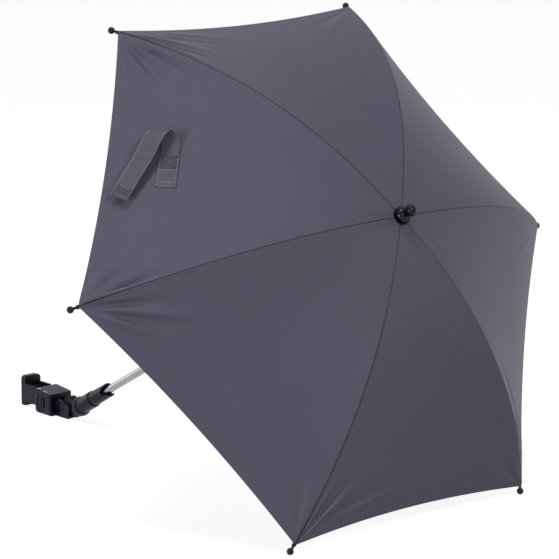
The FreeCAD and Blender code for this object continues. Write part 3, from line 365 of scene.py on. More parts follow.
# Thermoplastic rubber, moulded: dead black and dull.
RUBBER = GrainedFinish(
    "thermoplastic_rubber_moulded", "#0d0d0f", "#161618", 0.78, specular=0.2, grain_mm=0.7,
    grain_depth_mm=0.08, cloud_mm=10.0, gloss_spread=0.05)
# Painted highlight: a thin opaque white, slightly uneven, that stands for the glint of light on the cover's
# bevelled near edge.
PAINTED_HIGHLIGHT = GrainedFinish(
    "white_painted_edge_highlight", "#ecece9", "#fbfbf9", 0.55, grain_mm=0.5, cloud_mm=5.0)


def dress(finish: Finish, *nodes: str) -> None:
    """Gives shown CAD nodes their finish.

    Args:
        finish: The finish for all of their faces.
        *nodes: The nodes' names.
    """
    for node in nodes:
        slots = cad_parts[node].data.materials
        slots.clear()
        slots.append(finish.material())
        LOG.info("dressed %s in %s", node, finish.name)


def show(name: str, data: bpy.types.ID) -> Piece:
    """Adds an object to the scene.

    Args:
        name: The object's name.
        data: Its mesh, lamp or camera.

    Returns:
        The new object.
    """
    made = bpy.data.objects.new(name, data)
    bpy.context.scene.collection.objects.link(made)
    return made


def mesh_piece(name: str, points: Array, faces: Sequence[Sequence[int]], finish: Finish) -> Piece:
    """Makes a smooth-shaded piece from points in millimetres in the row frame.

    Args:
        name: The piece's name.
        points: One row per vertex.
        faces: Vertex numbers of each face.
        finish: Its finish.

    Returns:
        The new object.
    """
    mesh = bpy.data.meshes.new(name)
    mesh.from_pydata((points * MM).tolist(), [], faces)
    mesh.materials.append(finish.material())
    mesh.polygons.foreach_set("use_smooth", [True] * len(mesh.polygons))
    mesh.update()
    piece = show(name, mesh)
    LOG.info("made %s with %d faces", name, len(faces))
    return piece


def add_uv(piece: Piece, name: str, pairs: Array) -> None:
    """Stores a pair of millimetre values per vertex as a UV map in metres.

    Args:
        piece: The mesh piece.
        name: The map's name.
        pairs: One row of two values per vertex.
    """
    mesh = piece.data
    layer = mesh.uv_layers.new(name=name)
    corners = np.empty(len(mesh.loops), dtype=np.int64)
    mesh.loops.foreach_get("vertex_index", corners)
    layer.data.foreach_set("uv", (pairs[corners] * MM).ravel())


def smooth_step(value: Array, low: float, high: float) -> Array:
    """Rises smoothly from 0 at low to 1 at high."""
    share = np.clip((value - low) / (high - low), 0, 1)
    return share * share * (3 - 2 * share)


def unit(vectors: Array) -> Array:
    """The same directions at a length of 1."""
    return vectors / np.linalg.norm(vectors, axis=-1, keepdims=True)


def run_lengths(line: Array) -> Array:
    """Length of a line up to each of its points."""
    return np.concatenate([[0], np.cumsum(np.linalg.norm(np.diff(line, axis=0), axis=-1))])


def read_along(values: Array, lengths: Array, where: Array) -> Array:
    """Rows of values, read at places along a line."""
    return np.stack([np.interp(where, lengths, column) for column in values.T], axis=-1)


def straight(start: Sequence[float], end: Sequence[float], steps: int = 24) -> Array:
    """A straight line of points."""
    return np.linspace(np.array(start, float), np.array(end, float), steps)


def leaning(lean: Array, angle: float | Array) -> Array:
    """Unit vectors that lean away from the shaft, towards an angle about it."""
    return np.stack([np.sin(lean) * np.cos(angle), np.sin(lean) * np.sin(angle), np.cos(lean)], axis=-1)


def tube_faces(rows: int, sides: int, first: int = 0) -> list[list[int]]:
    """Faces of a closed tube whose vertices are numbered ring by ring.

    Args:
        rows: Number of rings.
        sides: Number of vertices in a ring.
        first: Number of the first vertex.

    Returns:
        Vertex numbers of its two ends and its walls.
    """
    rings = [[first + row * sides + spot for spot in range(sides)] for row in range(rows)]
    faces = [rings[0], rings[-1][::-1]]
    for low, high in zip(rings, rings[1:]):
        faces += [[low[spot - 1], high[spot - 1], high[spot], low[spot]] for spot in range(sides)]
    return faces


@dataclass(frozen=True)
class CrownFrame:
    """The canopy's own frame: its middle on the crown and its third axis along the shaft."""

    tilt: float = SHAFT_LEAN
    foot: Point = (77.7, 0.0, -3.3)
    crown_distance: float = 659.0

    def axes(self) -> Array:
        """Rows are the frame's three axes in the row frame."""
        c, s = math.cos(self.tilt), math.sin(self.tilt)
        return np.array([[s, 0, -c], [0, 1, 0], [c, 0, s]])

    def crown(self) -> Array:
        """The crown's place in the row frame."""
        return np.array(self.foot) + self.axes()[2] * self.crown_distance

    def place(self, points: Array) -> Array:
        """Points of the canopy's frame in the row frame."""
        return self.crown() + points @ self.axes()

    def turn(self, directions: Array) -> Array:
        """Directions of the canopy's frame in the row frame."""
        return directions @ self.axes()


@dataclass(frozen=True)
class Fold:
    """A tension fold in one gore, from a start to an end, both as (across the gore, down the gore)."""

    gore: int
    start: Span
    end: Span
    width: float
    height: float
    flare: float
    swell_power: float = 0.65

    def lift(self, across: Array, down: Array) -> Array:
        """How far the fold lifts the cloth.

        Args:
            across: Distance along the hem from the gore's middle line.
            down: Distance down the gore from the crown.

        Returns:
            Lift along the cloth's normal.
        """
        start, end = np.array(self.start), np.array(self.end)
        length = float(np.linalg.norm(end - start))
        run = (end - start) / length
        along = ((across - start[0]) * run[0] + (down - start[1]) * run[1]) / length
        aside = (across - start[0]) * run[1] - (down - start[1]) * run[0]
        inside = np.clip(along, 0, 1)
        body = np.sin(np.pi * inside ** self.swell_power) ** 2 * (along > 0) * (along < 1)
        width = self.width * (1 + (self.flare - 1) * inside)
        return self.height * body * np.exp(-(aside / width) ** 2)


# The folds seen in the photograph, gore by gore: light ridges have a height, dark grooves a depth.
FOLDS = tuple(Fold(*row) for row in (
    (0, (168, 333), (74, 249), 2.6, 1.9, 2.2), (0, (167, 331), (100, 232), 2.4, -1.9, 2.0),
    (0, (167, 331), (113, 219), 2.2, 2.1, 2.0), (0, (142, 318), (47, 275), 3.0, -1.2, 1.6),
    (0, (120, 327), (20, 290), 3.0, 1.2, 1.8), (0, (-162, 331), (-54, 290), 2.2, -1.0, 2.0),
    (0, (-162, 330), (-56, 261), 2.4, 1.0, 2.0),
    (2, (-161, 338), (-103, 186), 2.0, 1.7, 2.4), (2, (-158, 338), (-86, 222), 2.0, -1.5, 2.2),
    (2, (-156, 338), (-70, 273), 2.0, 1.4, 2.0), (2, (-130, 304), (-78, 148), 2.4, -1.4, 2.0),
    (2, (125, 288), (5, 186), 3.0, 1.0, 2.4),
    (3, (-166, 333), (-90, 262), 2.2, 1.9, 2.4), (3, (-165, 333), (-56, 264), 3.4, -1.7, 2.8),
    (3, (-167, 331), (-119, 257), 1.8, -1.2, 2.0), (3, (-123, 322), (6, 300), 3.6, -1.2, 2.0),
    (3, (-126, 312), (-8, 289), 3.2, 1.0, 2.0), (3, (168, 336), (122, 299), 2.2, -1.5, 2.0),
    (3, (168, 335), (124, 271), 2.2, 0.8, 2.0),
    (4, (-166, 336), (-105, 254), 2.6, -4.8, 2.2), (4, (-166, 336), (-66, 242), 3.2, 4.8, 2.6),
    (4, (-166, 337), (-61, 252), 3.2, -4.2, 2.4), (4, (-164, 337), (-73, 286), 3.0, 3.4, 2.2),
    (4, (165, 333), (110, 273), 3.2, -1.2, 2.2), (4, (166, 331), (119, 262), 2.4, 0.8, 2.2),
    (5, (-161, 336), (-125, 298), 1.8, -1.8, 2.2), (5, (-162, 334), (-96, 206), 2.6, -4.8, 1.7),
    (5, (-160, 335), (-108, 252), 2.2, 3.1, 2.0), (5, (-158, 336), (-68, 271), 3.2, 3.2, 2.4),
    (5, (-159, 335), (-76, 249), 3.4, -3.1, 2.2), (5, (-156, 336), (-54, 304), 3.4, -1.8, 2.0),
    (5, (168, 337), (80, 284), 5.4, 5.6, 2.4), (5, (169, 336), (112, 276), 3.4, -4.0, 2.2),
    (5, (168, 336), (108, 252), 4.0, 4.6, 2.0), (5, (167, 332), (110, 218), 3.0, -5.4, 1.8)))


@dataclass(frozen=True)
class CanopyShape:
    """The cloth as one continuous surface: six gores stretched over six ribs, sagging between them."""

    rib_angles: tuple[float, ...] = (210.0, 150.0, 90.0, 30.0, -30.0, -90.0)
    half_gore: float = math.radians(30)
    tip_radius: float = 345.0
    depth: float = 145.0
    curve_power: float = 2.36
    length_table: tuple[float, float, int] = (0.1, 350.0, 400)
    hole_radius: float = 5.5
    hem_radius: float = 340.3
    hem_hollow: float = 5.5
    hem_step: float = 0.2
    hem_roll: Span = (3.3, 4.8)
    sag: float = 7.0
    sag_run: Span = (10.0, 240.0)
    ridge_round: float = 2.0
    ridge_blend: float = 6.0
    seam_depth: float = 0.35
    seam_width: float = 0.6
    seam_run: Span = (12.0, 30.0)
    pucker: float = 0.16
    pucker_waves: float = 2.5
    pucker_rise: Span = (12.0, 40.0)
    pucker_fade: Span = (50.0, 105.0)
    ridge_calm: Span = (0.2, 2.5)
    groove_calm: Span = (2.4, 6.5)
    welt_gore: int = 4
    welt_place: float = 1.7
    welt_width: float = 0.8
    welt_height: float = 0.6
    welt_run: Span = (200.0, 270.0)
    strap_gore: int = 5
    strap_parting: float = math.radians(12)
    folds: tuple[Fold, ...] = FOLDS

    def drop(self, radius: Array) -> Array:
        """Depth below the crown at a radius along a rib."""
        return self.depth * (radius / self.tip_radius) ** self.curve_power

    def fall(self, radius: Array) -> Array:
        """Fall per unit of radius along a rib."""
        return self.curve_power * self.drop(radius) / radius

    def gore_angle(self, gore: int) -> float:
        """Angle of the middle of a gore, which lies after the rib of the same number."""
        return math.radians(self.rib_angles[gore]) - self.half_gore

    def down_length(self, radius: Array) -> Array:
        """Length of cloth from the crown down the middle of a gore.

        Args:
            radius: Radius along a rib of the same height.

        Returns:
            One length per radius.
        """
        steps = np.linspace(*self.length_table)
        rates = np.hypot(math.cos(self.half_gore), self.fall(steps))
        lengths = np.concatenate([[0], np.cumsum((rates[1:] + rates[:-1]) / 2 * np.diff(steps))])
        return np.interp(radius, steps, lengths)

    def hem_at(self, share: Array) -> Array:
        """Radius of the hem at a share of the half gore, hollow between the tips."""
        lean = math.atan(self.fall(self.hem_radius) / math.cos(self.half_gore))
        return (self.hem_radius
                - self.hem_hollow * (1 - share ** 2) * math.cos(lean) / math.cos(self.half_gore))

    def seam_distance(self, radius: Array, across: Array) -> Array:
        """Distance along the hem to the nearest seam."""
        return radius * math.sin(self.half_gore) - np.abs(across)

    def surface(self, gore: int, radius: Array, across: Array) -> Array:
        """The cloth's outer face in the canopy's frame.

        Args:
            gore: The gore's number.
            radius: Radius along a rib of the same height.
            across: Distance along the hem from the gore's middle line.

        Returns:
            One point per value, along the last axis.
        """
        away = np.maximum(self.seam_distance(radius, across), 0)
        angle = self.gore_angle(gore)
        rib = angle + np.where(across > 0, self.half_gore, -self.half_gore)
        lean = np.arctan(self.fall(radius) / math.cos(self.half_gore))
        out = radius * math.cos(self.half_gore)
        base = np.stack([out * math.cos(angle) - across * math.sin(angle),
                         out * math.sin(angle) + across * math.cos(angle), -self.drop(radius)], axis=-1)
        flat = smooth_step(away, 0, self.ridge_blend)[..., None]
        normal = unit(leaning(lean, angle) * flat + leaning(np.arctan(self.fall(radius)), rib) * (1 - flat))
        return base + normal * self.lift(gore, radius, across, away, lean)[..., None]

    def lift(self, gore: int, radius: Array, across: Array, away: Array, lean: Array) -> Array:
        """How far the cloth stands off the straight stretch between two ribs.

        Args:
            gore: The gore's number.
            radius: Radius along a rib of the same height.
            across: Distance along the hem from the gore's middle line.
            away: Distance along the hem from the nearest seam.
            lean: Slope of the gore there.

        Returns:
            Lift along the cloth's normal.
        """
        share = across / (radius * math.sin(self.half_gore))
        lift = -self.sag * smooth_step(radius, *self.sag_run) * (1 - share ** 2)
        crease = np.tan(np.arcsin(np.sin(lean) * math.sin(self.half_gore)))
        lift -= crease * (np.sqrt(away ** 2 + self.ridge_round ** 2) - away)
        lift -= self.seam_depth * np.exp(-(away / self.seam_width) ** 2) * smooth_step(radius, *self.seam_run)
        down = self.down_length(radius)
        margin = self.down_length(self.hem_at(share)) - down
        lift += self.hem_step * (1 - smooth_step(margin, *self.hem_roll))
        held = smooth_step(radius, *self.pucker_rise) * (1 - smooth_step(radius, *self.pucker_fade))
        lift += self.pucker * np.sin(2 * math.pi * self.pucker_waves * share) * held
        if gore == self.welt_gore:
            welt = self.welt_height * np.exp(-((away - self.welt_place) / self.welt_width) ** 2)
            lift += welt * (across < 0) * smooth_step(radius, *self.welt_run)
        for fold in self.folds:
            if fold.gore == gore:
                calm = self.ridge_calm if fold.height > 0 else self.groove_calm
                lift += fold.lift(across, down) * smooth_step(away, *calm)
        return lift

    def parting(self, gore: int) -> float:
        """Angle from a gore's middle line at which its cloth is parted between two panels."""
        return -self.strap_parting if gore == self.strap_gore else 0.0


@dataclass
class Canopy:
    """The cloth panels, one on each rib, cut from one continuous surface so that their edges meet."""

    shape: CanopyShape
    frame: CrownFrame
    thickness: float = 0.45
    row_step: float = 3.6
    column_step: float = 3.6
    keep_folded: float = 0.1
    seam_offsets: tuple[float, ...] = (0.0, 0.4, 0.9, 1.6, 2.7, 4.3, 6.6)
    hem_offsets: tuple[float, ...] = (0.0, 0.7, 1.6, 2.6, 3.3, 3.9, 4.5, 5.1, 6.0, 8.0)
    hem_room: float = 1.0
    radius_per_length: float = 0.82
    full_spacing_from: float = 60.0
    normal_step: float = 0.25
    seam_shade: float = 0.8

    def rows(self) -> Array:
        """Shares from the hole to the hem.

        Returns:
            Even steps, and closer ones at the hem.
        """
        full = self.shape.hem_radius - self.shape.hole_radius
        plain = np.arange(0, full - self.hem_offsets[-1] - self.hem_room, self.row_step)
        hem = full - np.array(self.hem_offsets[::-1]) * self.radius_per_length
        return np.concatenate([plain, hem]) / full

    def half_grid(self, gore: int, side: int) -> tuple[Array, Array]:
        """Radius and distance across for the cloth between a rib and a gore's parting line.

        Args:
            gore: The gore's number.
            side: Which rib of the gore, as the sign of the distance across.

        Returns:
            Two grids with the rib in the first column and the parting line in the last.
        """
        shape = self.shape
        shares = self.rows()[:, None]
        sine, cosine = math.sin(shape.half_gore), math.cos(shape.half_gore)
        reach = sine - side * cosine * math.tan(shape.parting(gore))
        offsets = np.array(self.seam_offsets)
        count = int(round((shape.hem_radius * reach - offsets[-1]) / self.column_step))
        spread = np.linspace(0, 1, count + 1)[1:]
        radius = shape.hole_radius + (shape.hem_radius - shape.hole_radius) * shares
        full = radius * reach
        near = offsets * np.minimum(1, full / self.full_spacing_from)
        last = near[:, -1:]
        away = np.concatenate([near, last + (full - last) * spread], axis=1)
        hem = shape.hem_at(1 - away / (radius * sine))
        grid = shape.hole_radius + (hem - shape.hole_radius) * shares
        return grid, side * grid * (sine - away / radius)

    def half_normals(self, gore: int, grid: Array, across: Array, side: int) -> Array:
        """Normals of the continuous surface, so that neighbouring panels shade alike.

        Args:
            gore: The gore's number.
            grid: Radius of each point.
            across: Distance across of each point.
            side: Which rib of the gore.

        Returns:
            One unit normal per point.
        """
        step, shape = self.normal_step, self.shape
        along = shape.surface(gore, grid + step, across) - shape.surface(gore, grid - step, across)
        sideways = shape.surface(gore, grid, across + step) - shape.surface(gore, grid, across - step)
        rib = shape.gore_angle(gore) + side * shape.half_gore
        ridge = leaning(np.arctan(shape.fall(grid)), rib)
        share = smooth_step(shape.seam_distance(grid, across), 0, self.seam_shade)[..., None]
        return unit(unit(np.cross(along, sideways)) * share + ridge * (1 - share))

    def half_panel(self, gore: int, side: int) -> Array:
        """The cloth between a rib and a gore's parting line.

        Args:
            gore: The gore's number.
            side: Which rib of the gore, as the sign of the distance across.

        Returns:
            Per grid point its place, its normal, its two thread coordinates and its two margins.
        """
        shape = self.shape
        grid, across = self.half_grid(gore, side)
        down = shape.down_length(grid)
        hem = shape.down_length(shape.hem_at(across / grid / math.sin(shape.half_gore))) - down
        pairs = np.stack([across, down, shape.seam_distance(grid, across), hem], axis=-1)
        normals = self.half_normals(gore, grid, across, side)
        whole = np.concatenate([shape.surface(gore, grid, across), normals, pairs], axis=-1)
        return whole[:, ::-1] if side < 0 else whole[:, 1:]

    def build(self) -> None:
        for rib in range(len(self.shape.rib_angles)):
            self.build_panel(rib)

    def build_panel(self, rib: int) -> None:
        """Makes one panel: the cloth on both sides of a rib, as a thin closed shell.

        Args:
            rib: The rib's number, from 0.
        """
        before = (rib - 1) % len(self.shape.rib_angles)
        grid = np.concatenate([self.half_panel(before, -1), self.half_panel(rib, 1)], axis=1)
        numbers = np.arange(grid[..., 0].size).reshape(grid.shape[:2])
        corners = (numbers[:-1, :-1], numbers[:-1, 1:], numbers[1:, 1:], numbers[1:, :-1])
        front = np.stack(corners, axis=-1).reshape(-1, 4)
        rim = np.concatenate([numbers[0], numbers[1:, -1], numbers[-1, -2::-1], numbers[-2:0:-1, 0]])
        after = np.roll(rim, -1)
        walls = np.column_stack([after, rim, rim + numbers.size, after + numbers.size])
        faces = np.concatenate([front, front[:, ::-1] + numbers.size, walls]).tolist()
        outer, normal, thread, margin = np.split(grid.reshape(numbers.size, -1), (3, 6, 8), axis=1)
        points = self.frame.place(np.concatenate([outer, outer - normal * self.thickness]))
        piece = mesh_piece(f"canopy_cloth_{rib + 1}", points, faces, PONGEE)
        add_uv(piece, "threads", np.tile(thread, (2, 1)))
        add_uv(piece, "margins", np.tile(margin, (2, 1)))
        normals = self.frame.turn(np.concatenate([normal, -normal]))
        piece.data.normals_split_custom_set_from_vertices(normals.tolist())
        self.declare(piece, rib)

    def declare(self, piece: Piece, rib: int) -> None:
        """Hides the CAD panel that it replaces, hangs it on its rib and gives it its own mesh.

        Args:
            piece: The panel.
            rib: The rib's number, from 0.
        """
        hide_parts(f"canopy_panel_{rib + 1}")
        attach(piece, f"rib_{rib + 1}")
        self.gather(piece, rib)

    def gather(self, piece: Piece, rib: int) -> None:
        """Gives a soft piece its own copy of its mesh; the direction across its rib is worked out but nothing
        uses it.

        Args:
            piece: The soft piece.
            rib: The rib's number, from 0.
        """
        angle = math.radians(self.shape.rib_angles[rib])
        tangent = self.frame.turn(np.array([-math.sin(angle), math.cos(angle), 0.0]))
        tuple(self.frame.crown() * MM)
        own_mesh(piece)


@dataclass
class TieStrap:
    """The sewn patch, the looped webbing that rises from it, their fastener squares and their stitches."""

    canopy: Canopy
    rib: int = 5
    middle_radius: float = 279.5
    offset: float = 3.5
    probe: float = 0.5
    patch_size: Span = (41.0, 22.0)
    patch_thickness: float = 0.9
    width: float = 20.0
    thickness: float = 1.0
    gap: float = 0.35
    edge_share: float = 0.3
    edge_round: float = 0.6
    lanes: int = 9
    tape_size: Span = (17.0, 14.0)
    tape_thickness: float = 0.7
    soft_inset: float = 4.0
    hook_inset: float = 1.0
    run: tuple[Point, ...] = (
        (3.0, 0.0, 0.0), (0.0, 0.0, 0.0), (-6.0, 0.4, 0.7), (-12.0, -0.6, 3.0), (-17.0, -4.0, 8.0),
        (-18.0, -8.0, 12.6), (-15.0, -12.0, 16.4), (-8.5, -16.2, 17.4), (1.0, -20.6, 14.6),
        (6.5, -23.2, 11.8), (12.0, -25.8, 9.6), (25.0, -31.7, 8.8), (41.0, -39.0, 7.0), (59.0, -46.9, 5.4))
    run_steps: int = 110
    along_y: float = 0.8
    crease_from_end: float = 54.5
    crease_skew: float = 0.42
    crease_height: float = 2.4
    crease_reach: Span = (4.0, 7.0)
    stitch_pitch: float = 3.2
    stitch_length: float = 2.1
    stitch_radius: float = 0.3
    stitch_blunt: float = 0.06
    stitch_bow: float = 0.25
    stitch_sunk: float = 0.15
    stitch_rings: int = 5
    stitch_sides: int = 6
    seam_inset: float = 1.3
    edge_seam_start: float = 3.5
    side_seam_end: float = 1.0
    cross_places: Point = (18.9, 14.3, -1.3)
    cross_inset: float = 2.0
    end_places: Span = (2.4, 13.4)
    end_inset: float = 2.5
    end_rows: Span = (-0.9, 0.9)

    def axes(self) -> tuple[Array, Array]:
        """The patch's frame in the canopy's frame.

        Returns:
            Its middle, and rows for along the hem, up the slope and out of the cloth.
        """
        moves = ((0, 0), (-self.probe, 0), (self.probe, 0), (0, -self.probe), (0, self.probe))
        shape = self.canopy.shape
        middle, up, down, back, on = [
            shape.surface(shape.strap_gore, np.array(self.middle_radius + r), np.array(self.offset + t))
            for r, t in moves]
        along = unit(on - back)
        out = unit(np.cross(down - up, along))
        return middle, np.array([along, np.cross(out, along), out])

    def place(self, points: Array) -> Array:
        """Points of the patch's frame in the row frame."""
        middle, axes = self.axes()
        return self.canopy.frame.place(middle + points @ axes)

    def centre_line(self) -> Array:
        """A smooth line through the webbing's run.

        Returns:
            Points in the patch's frame.
        """
        start = (-self.patch_size[0] / 2, 0, self.gap + self.patch_thickness + self.thickness / 2)
        knots = np.array(self.run) + start
        chord = run_lengths(knots)
        slopes = np.gradient(knots, chord, axis=0)
        where = np.linspace(0, chord[-1], self.run_steps)
        index = np.clip(np.searchsorted(chord, where) - 1, 0, len(chord) - 2)
        span = (chord[index + 1] - chord[index])[:, None]
        t = (where - chord[index])[:, None] / span
        rise = 3 * t ** 2 - 2 * t ** 3
        pull = (t ** 3 - 2 * t ** 2 + t) * slopes[index] + (t ** 3 - t ** 2) * slopes[index + 1]
        return (1 - rise) * knots[index] + rise * knots[index + 1] + span * pull

    def ribbon_frames(self, line: Array) -> tuple[Array, Array]:
        """Directions across and out of the webbing at each point of its line.

        Args:
            line: Points along the webbing.

        Returns:
            Unit vectors across it and out of its face.
        """
        run = unit(np.gradient(line, axis=0))
        side = np.array([1.0, 0.0, 0.0] if abs(run[0, 1]) > self.along_y else [0.0, 1.0, 0.0])
        across = unit(side - run * (run @ side)[:, None])
        return across, np.cross(run, across)

    def crease(self, to_end: Array, aside: float) -> Array:
        """How far the webbing's old fold line lifts it.

        Args:
            to_end: Run that is left to the webbing's free end.
            aside: Distance from its middle line.

        Returns:
            Lift out of the webbing's face.
        """
        past = self.crease_from_end - to_end + self.crease_skew * aside
        reach = np.where(past < 0, self.crease_reach[0], self.crease_reach[1])
        return self.crease_height * np.exp(-np.abs(past) / reach)

    def ribbon(self, name: str, finish: Finish, slot: Slot, line: Array, width: float, thickness: float,
               lift: float, creased: bool) -> Piece:
        """A flat woven band with softly rounded edges along a line.

        Args:
            name: The piece's name.
            finish: Its finish.
            slot: The record's slot; not used.
            line: Points along it.
            width: Its width.
            thickness: Its thickness.
            lift: How far its middle stands off the line, out of the face.
            creased: Whether the webbing's fold line crosses it.

        Returns:
            The new piece.
        """
        across, out = self.ribbon_frames(line)
        half, thick, thin = width / 2, thickness / 2, thickness / 2 * self.edge_share
        lanes = np.linspace(self.edge_round - half, half - self.edge_round, self.lanes)
        ring = [(-half, -thin), (-half, thin), *((x, thick) for x in lanes)]
        ring += [(half, thin), (half, -thin), *((x, -thick) for x in lanes[::-1])]
        length = run_lengths(line)
        rows = []
        for x, z in ring:
            height = z + lift + self.crease(length[-1] - length, x) * creased
            rows.append(line + across * x + out * height[:, None])
        points = np.stack(rows, axis=1).reshape(-1, 3)
        piece = mesh_piece(name, self.place(points), tube_faces(len(line), len(ring)), finish)
        add_uv(piece, "threads", np.array([(x, s) for s in length for x, _ in ring]))
        return piece

    def stitches(self, name: str, line: Array, asides: Iterable[float], lift: float = 0.0,
                 creased: bool = False) -> None:
        """Rows of sewn dashes along a line, as one piece.

        Args:
            name: The piece's name.
            line: Points that the rows follow.
            asides: Distance of each row from the line.
            lift: Height of the sewn face over the line.
            creased: Whether they follow the webbing over its fold line.
        """
        length = run_lengths(line)
        frames = (line, *self.ribbon_frames(line))
        rings, sides = self.stitch_rings, self.stitch_sides
        share = np.linspace(0, 1, rings)
        swell = self.stitch_radius * np.sqrt(np.maximum(1 - (2 * share - 1) ** 4, self.stitch_blunt))
        bow = lift - self.stitch_sunk + self.stitch_bow * np.sin(math.pi * share)
        turn = np.linspace(0, -2 * math.pi, sides, endpoint=False)[:, None]
        points, faces = [], []
        for aside in asides:
            for start in np.arange(self.stitch_pitch / 3, length[-1] - self.stitch_length, self.stitch_pitch):
                where = start + self.stitch_length * share
                middle, across, out = (read_along(values, length, where)[:, None] for values in frames)
                height = bow + self.crease(length[-1] - where, aside) * creased
                spokes = (across * np.cos(turn) + out * np.sin(turn)) * swell[:, None, None]
                faces += tube_faces(rings, sides, len(points) * rings * sides)
                points.append(middle + across * aside + out * height[:, None, None] + spokes)
        sewn = self.place(np.concatenate(points).reshape(-1, 3))
        self.hold(mesh_piece(name, sewn, faces, THREAD))

    def bands(self, line: Array) -> None:
        """Makes the patch, the webbing and both fastener squares, hides the CAD pieces they replace and hangs
        them on the rib.

        Args:
            line: The webbing's middle line.
        """
        long, wide = self.patch_size
        run = run_lengths(line)
        half, top, end = long / 2, self.gap + self.patch_thickness, run[-1] - self.hook_inset
        middle, soft = top - self.patch_thickness / 2, self.soft_inset - half
        tape, tape_long = (self.tape_size[0], self.tape_thickness), self.tape_size[1]
        on_patch, on_strap = self.tape_thickness / 2, (self.thickness + self.tape_thickness) / 2
        bed = straight((-half, 0, middle), (half, 0, middle))
        soft_line = straight((soft, 0, top), (soft + tape_long, 0, top))
        hook_line = line[(run > end - tape_long) & (run < end)]
        cloth, pile = (WEBBING, Slot.WEBBING), (TAPE, Slot.FASTENER)
        rows = (
            ("strap_patch_cloth", "strap_patch", cloth, bed, (wide, self.patch_thickness, 0.0), long),
            ("strap_webbing_loop", "strap_webbing", cloth, line, (self.width, self.thickness, 0.0), run[-1]),
            ("strap_soft_square", "strap_soft_fastener", pile, soft_line, (*tape, on_patch), tape_long),
            ("strap_hook_square", "strap_hook_fastener", pile, hook_line, (*tape, on_strap), tape_long))
        for name, node, look, path, section, length in rows:
            piece = self.ribbon(name, *look, path, *section, creased=path is line)
            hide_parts(node)
            self.hold(piece)

    def seams(self, line: Array) -> None:
        """Makes the stitches of the patch and the webbing.

        Args:
            line: The webbing's middle line.
        """
        run = run_lengths(line)
        half, wide, top = self.patch_size[0] / 2, self.patch_size[1] / 2, self.gap + self.patch_thickness
        edge, side = self.width / 2 - self.seam_inset, wide - self.seam_inset
        edges = line[run > self.edge_seam_start]
        self.stitches("strap_edge_stitches", edges, (-edge, edge), self.thickness / 2, creased=True)
        sides = straight((self.soft_inset - half, 0, top), (half - self.side_seam_end, 0, top))
        self.stitches("patch_side_stitches", sides, (-side, side))
        reach = wide - self.cross_inset
        for number, place in enumerate(self.cross_places, start=1):
            sewn = straight((place, reach, top), (place, -reach, top))
            self.stitches(f"patch_cross_stitches_{number}", sewn, (0.0,))
        across, out = self.ribbon_frames(line)
        for number, place in enumerate(self.end_places, start=1):
            spot = int(np.searchsorted(run, run[-1] - place))
            height = line[spot] + out[spot] * (self.thickness / 2 + self.tape_thickness)
            aside = across[spot] * (self.width / 2 - self.end_inset)
            sewn = straight(height + aside, height - aside)
            self.stitches(f"strap_end_stitches_{number}", sewn, self.end_rows)

    def build(self) -> None:
        """Makes the strap's bands and their stitches."""
        line = self.centre_line()
        self.bands(line)
        self.seams(line)

    def hold(self, piece: Piece) -> None:
        """Hangs a strap piece on the last rib, where its panel hangs, and gives it its own mesh."""
        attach(piece, "rib_6")
        self.canopy.gather(piece, self.rib)


@dataclass
class FoldingFrame:
    """The pieces that carry the cloth: ribs, stretchers, crown, runner, shaft, tips and ferrule."""

    ribs: int = 6

    def dress(self) -> None:
        """Gives every piece of the frame its finish."""
        for number in range(1, self.ribs + 1):
            dress(ZINC, f"rib_{number}", f"stretcher_{number}")
            dress(GLOSS_ABS, f"tip_cap_{number}")
        dress(GLOSS_ABS, "ferrule_base", "ferrule_knob")
        dress(NYLON, "crown", "runner", "shaft_end_plug")
        dress(ZINC, "crown_tie_wire", "runner_tie_wire", "stop_pin")
        dress(TUBE, "shaft_tube")
        dress(FELT, "cloth_washer")
        dress(BUSH, "stop_ring", "runner_bush", "shaft_top_plug")


@dataclass
class Clamp:
    """The clamp, its elbow and its locking collar, with white painted highlights on the cover's near top
    edge.
    """

    highlight_thickness: float = 0.08
    highlight_inset: float = 3.2
    cover_rear_top: float = 13.8
    cover_fall: float = 3.4 / 31.5
    edge_highlights: tuple[tuple[Span, ...], ...] = (
        ((2.0, 0.0), (4.9, 2.9), (8.0, 1.2), (8.0, -0.5), (5.1, 1.1), (3.2, -1.2)),
        ((14.5, -0.8), (21.5, -0.8), (21.5, 1.2), (14.5, 1.2)))

    def paint_edge_highlights(self) -> None:
        """Lays a white chevron and bar beside the cover's near edge, as thin sheets on its slope: painted
        highlights where the edge catches the light.
        """
        low = np.array(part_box("clamp_cover")[0]) / MM
        for number, outline in enumerate(self.edge_highlights, start=1):
            flat = np.array(outline) + (low[0], low[1] + self.highlight_inset)
            height = self.cover_rear_top - self.cover_fall * (flat[:, 0] - low[0])
            below = np.column_stack([flat, height])
            points = np.concatenate([below, below + (0, 0, self.highlight_thickness)])
            # Each sheet is a painted highlight, white under any lamp.
            piece = mesh_piece(f"cover_painted_highlight_{number}", points, tube_faces(2, len(flat)), PAINTED_HIGHLIGHT)
            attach(piece, "clamp")

    def dress(self) -> None:
        """Gives every piece of the clamp its finish."""
        dress(NYLON, "clamp_housing", "clamp_cover", "hook_jaw", "elbow", "locking_collar",
              "release_button_near", "release_button_far")
        dress(RUBBER, "housing_pad", "jaw_pad")
        dress(STEEL, "hinge_pin")
        dress(ZINC, "cover_screws", "button_spring_near", "button_spring_far")
        dress(BUSH, "socket_bush")
        self.paint_edge_highlights()


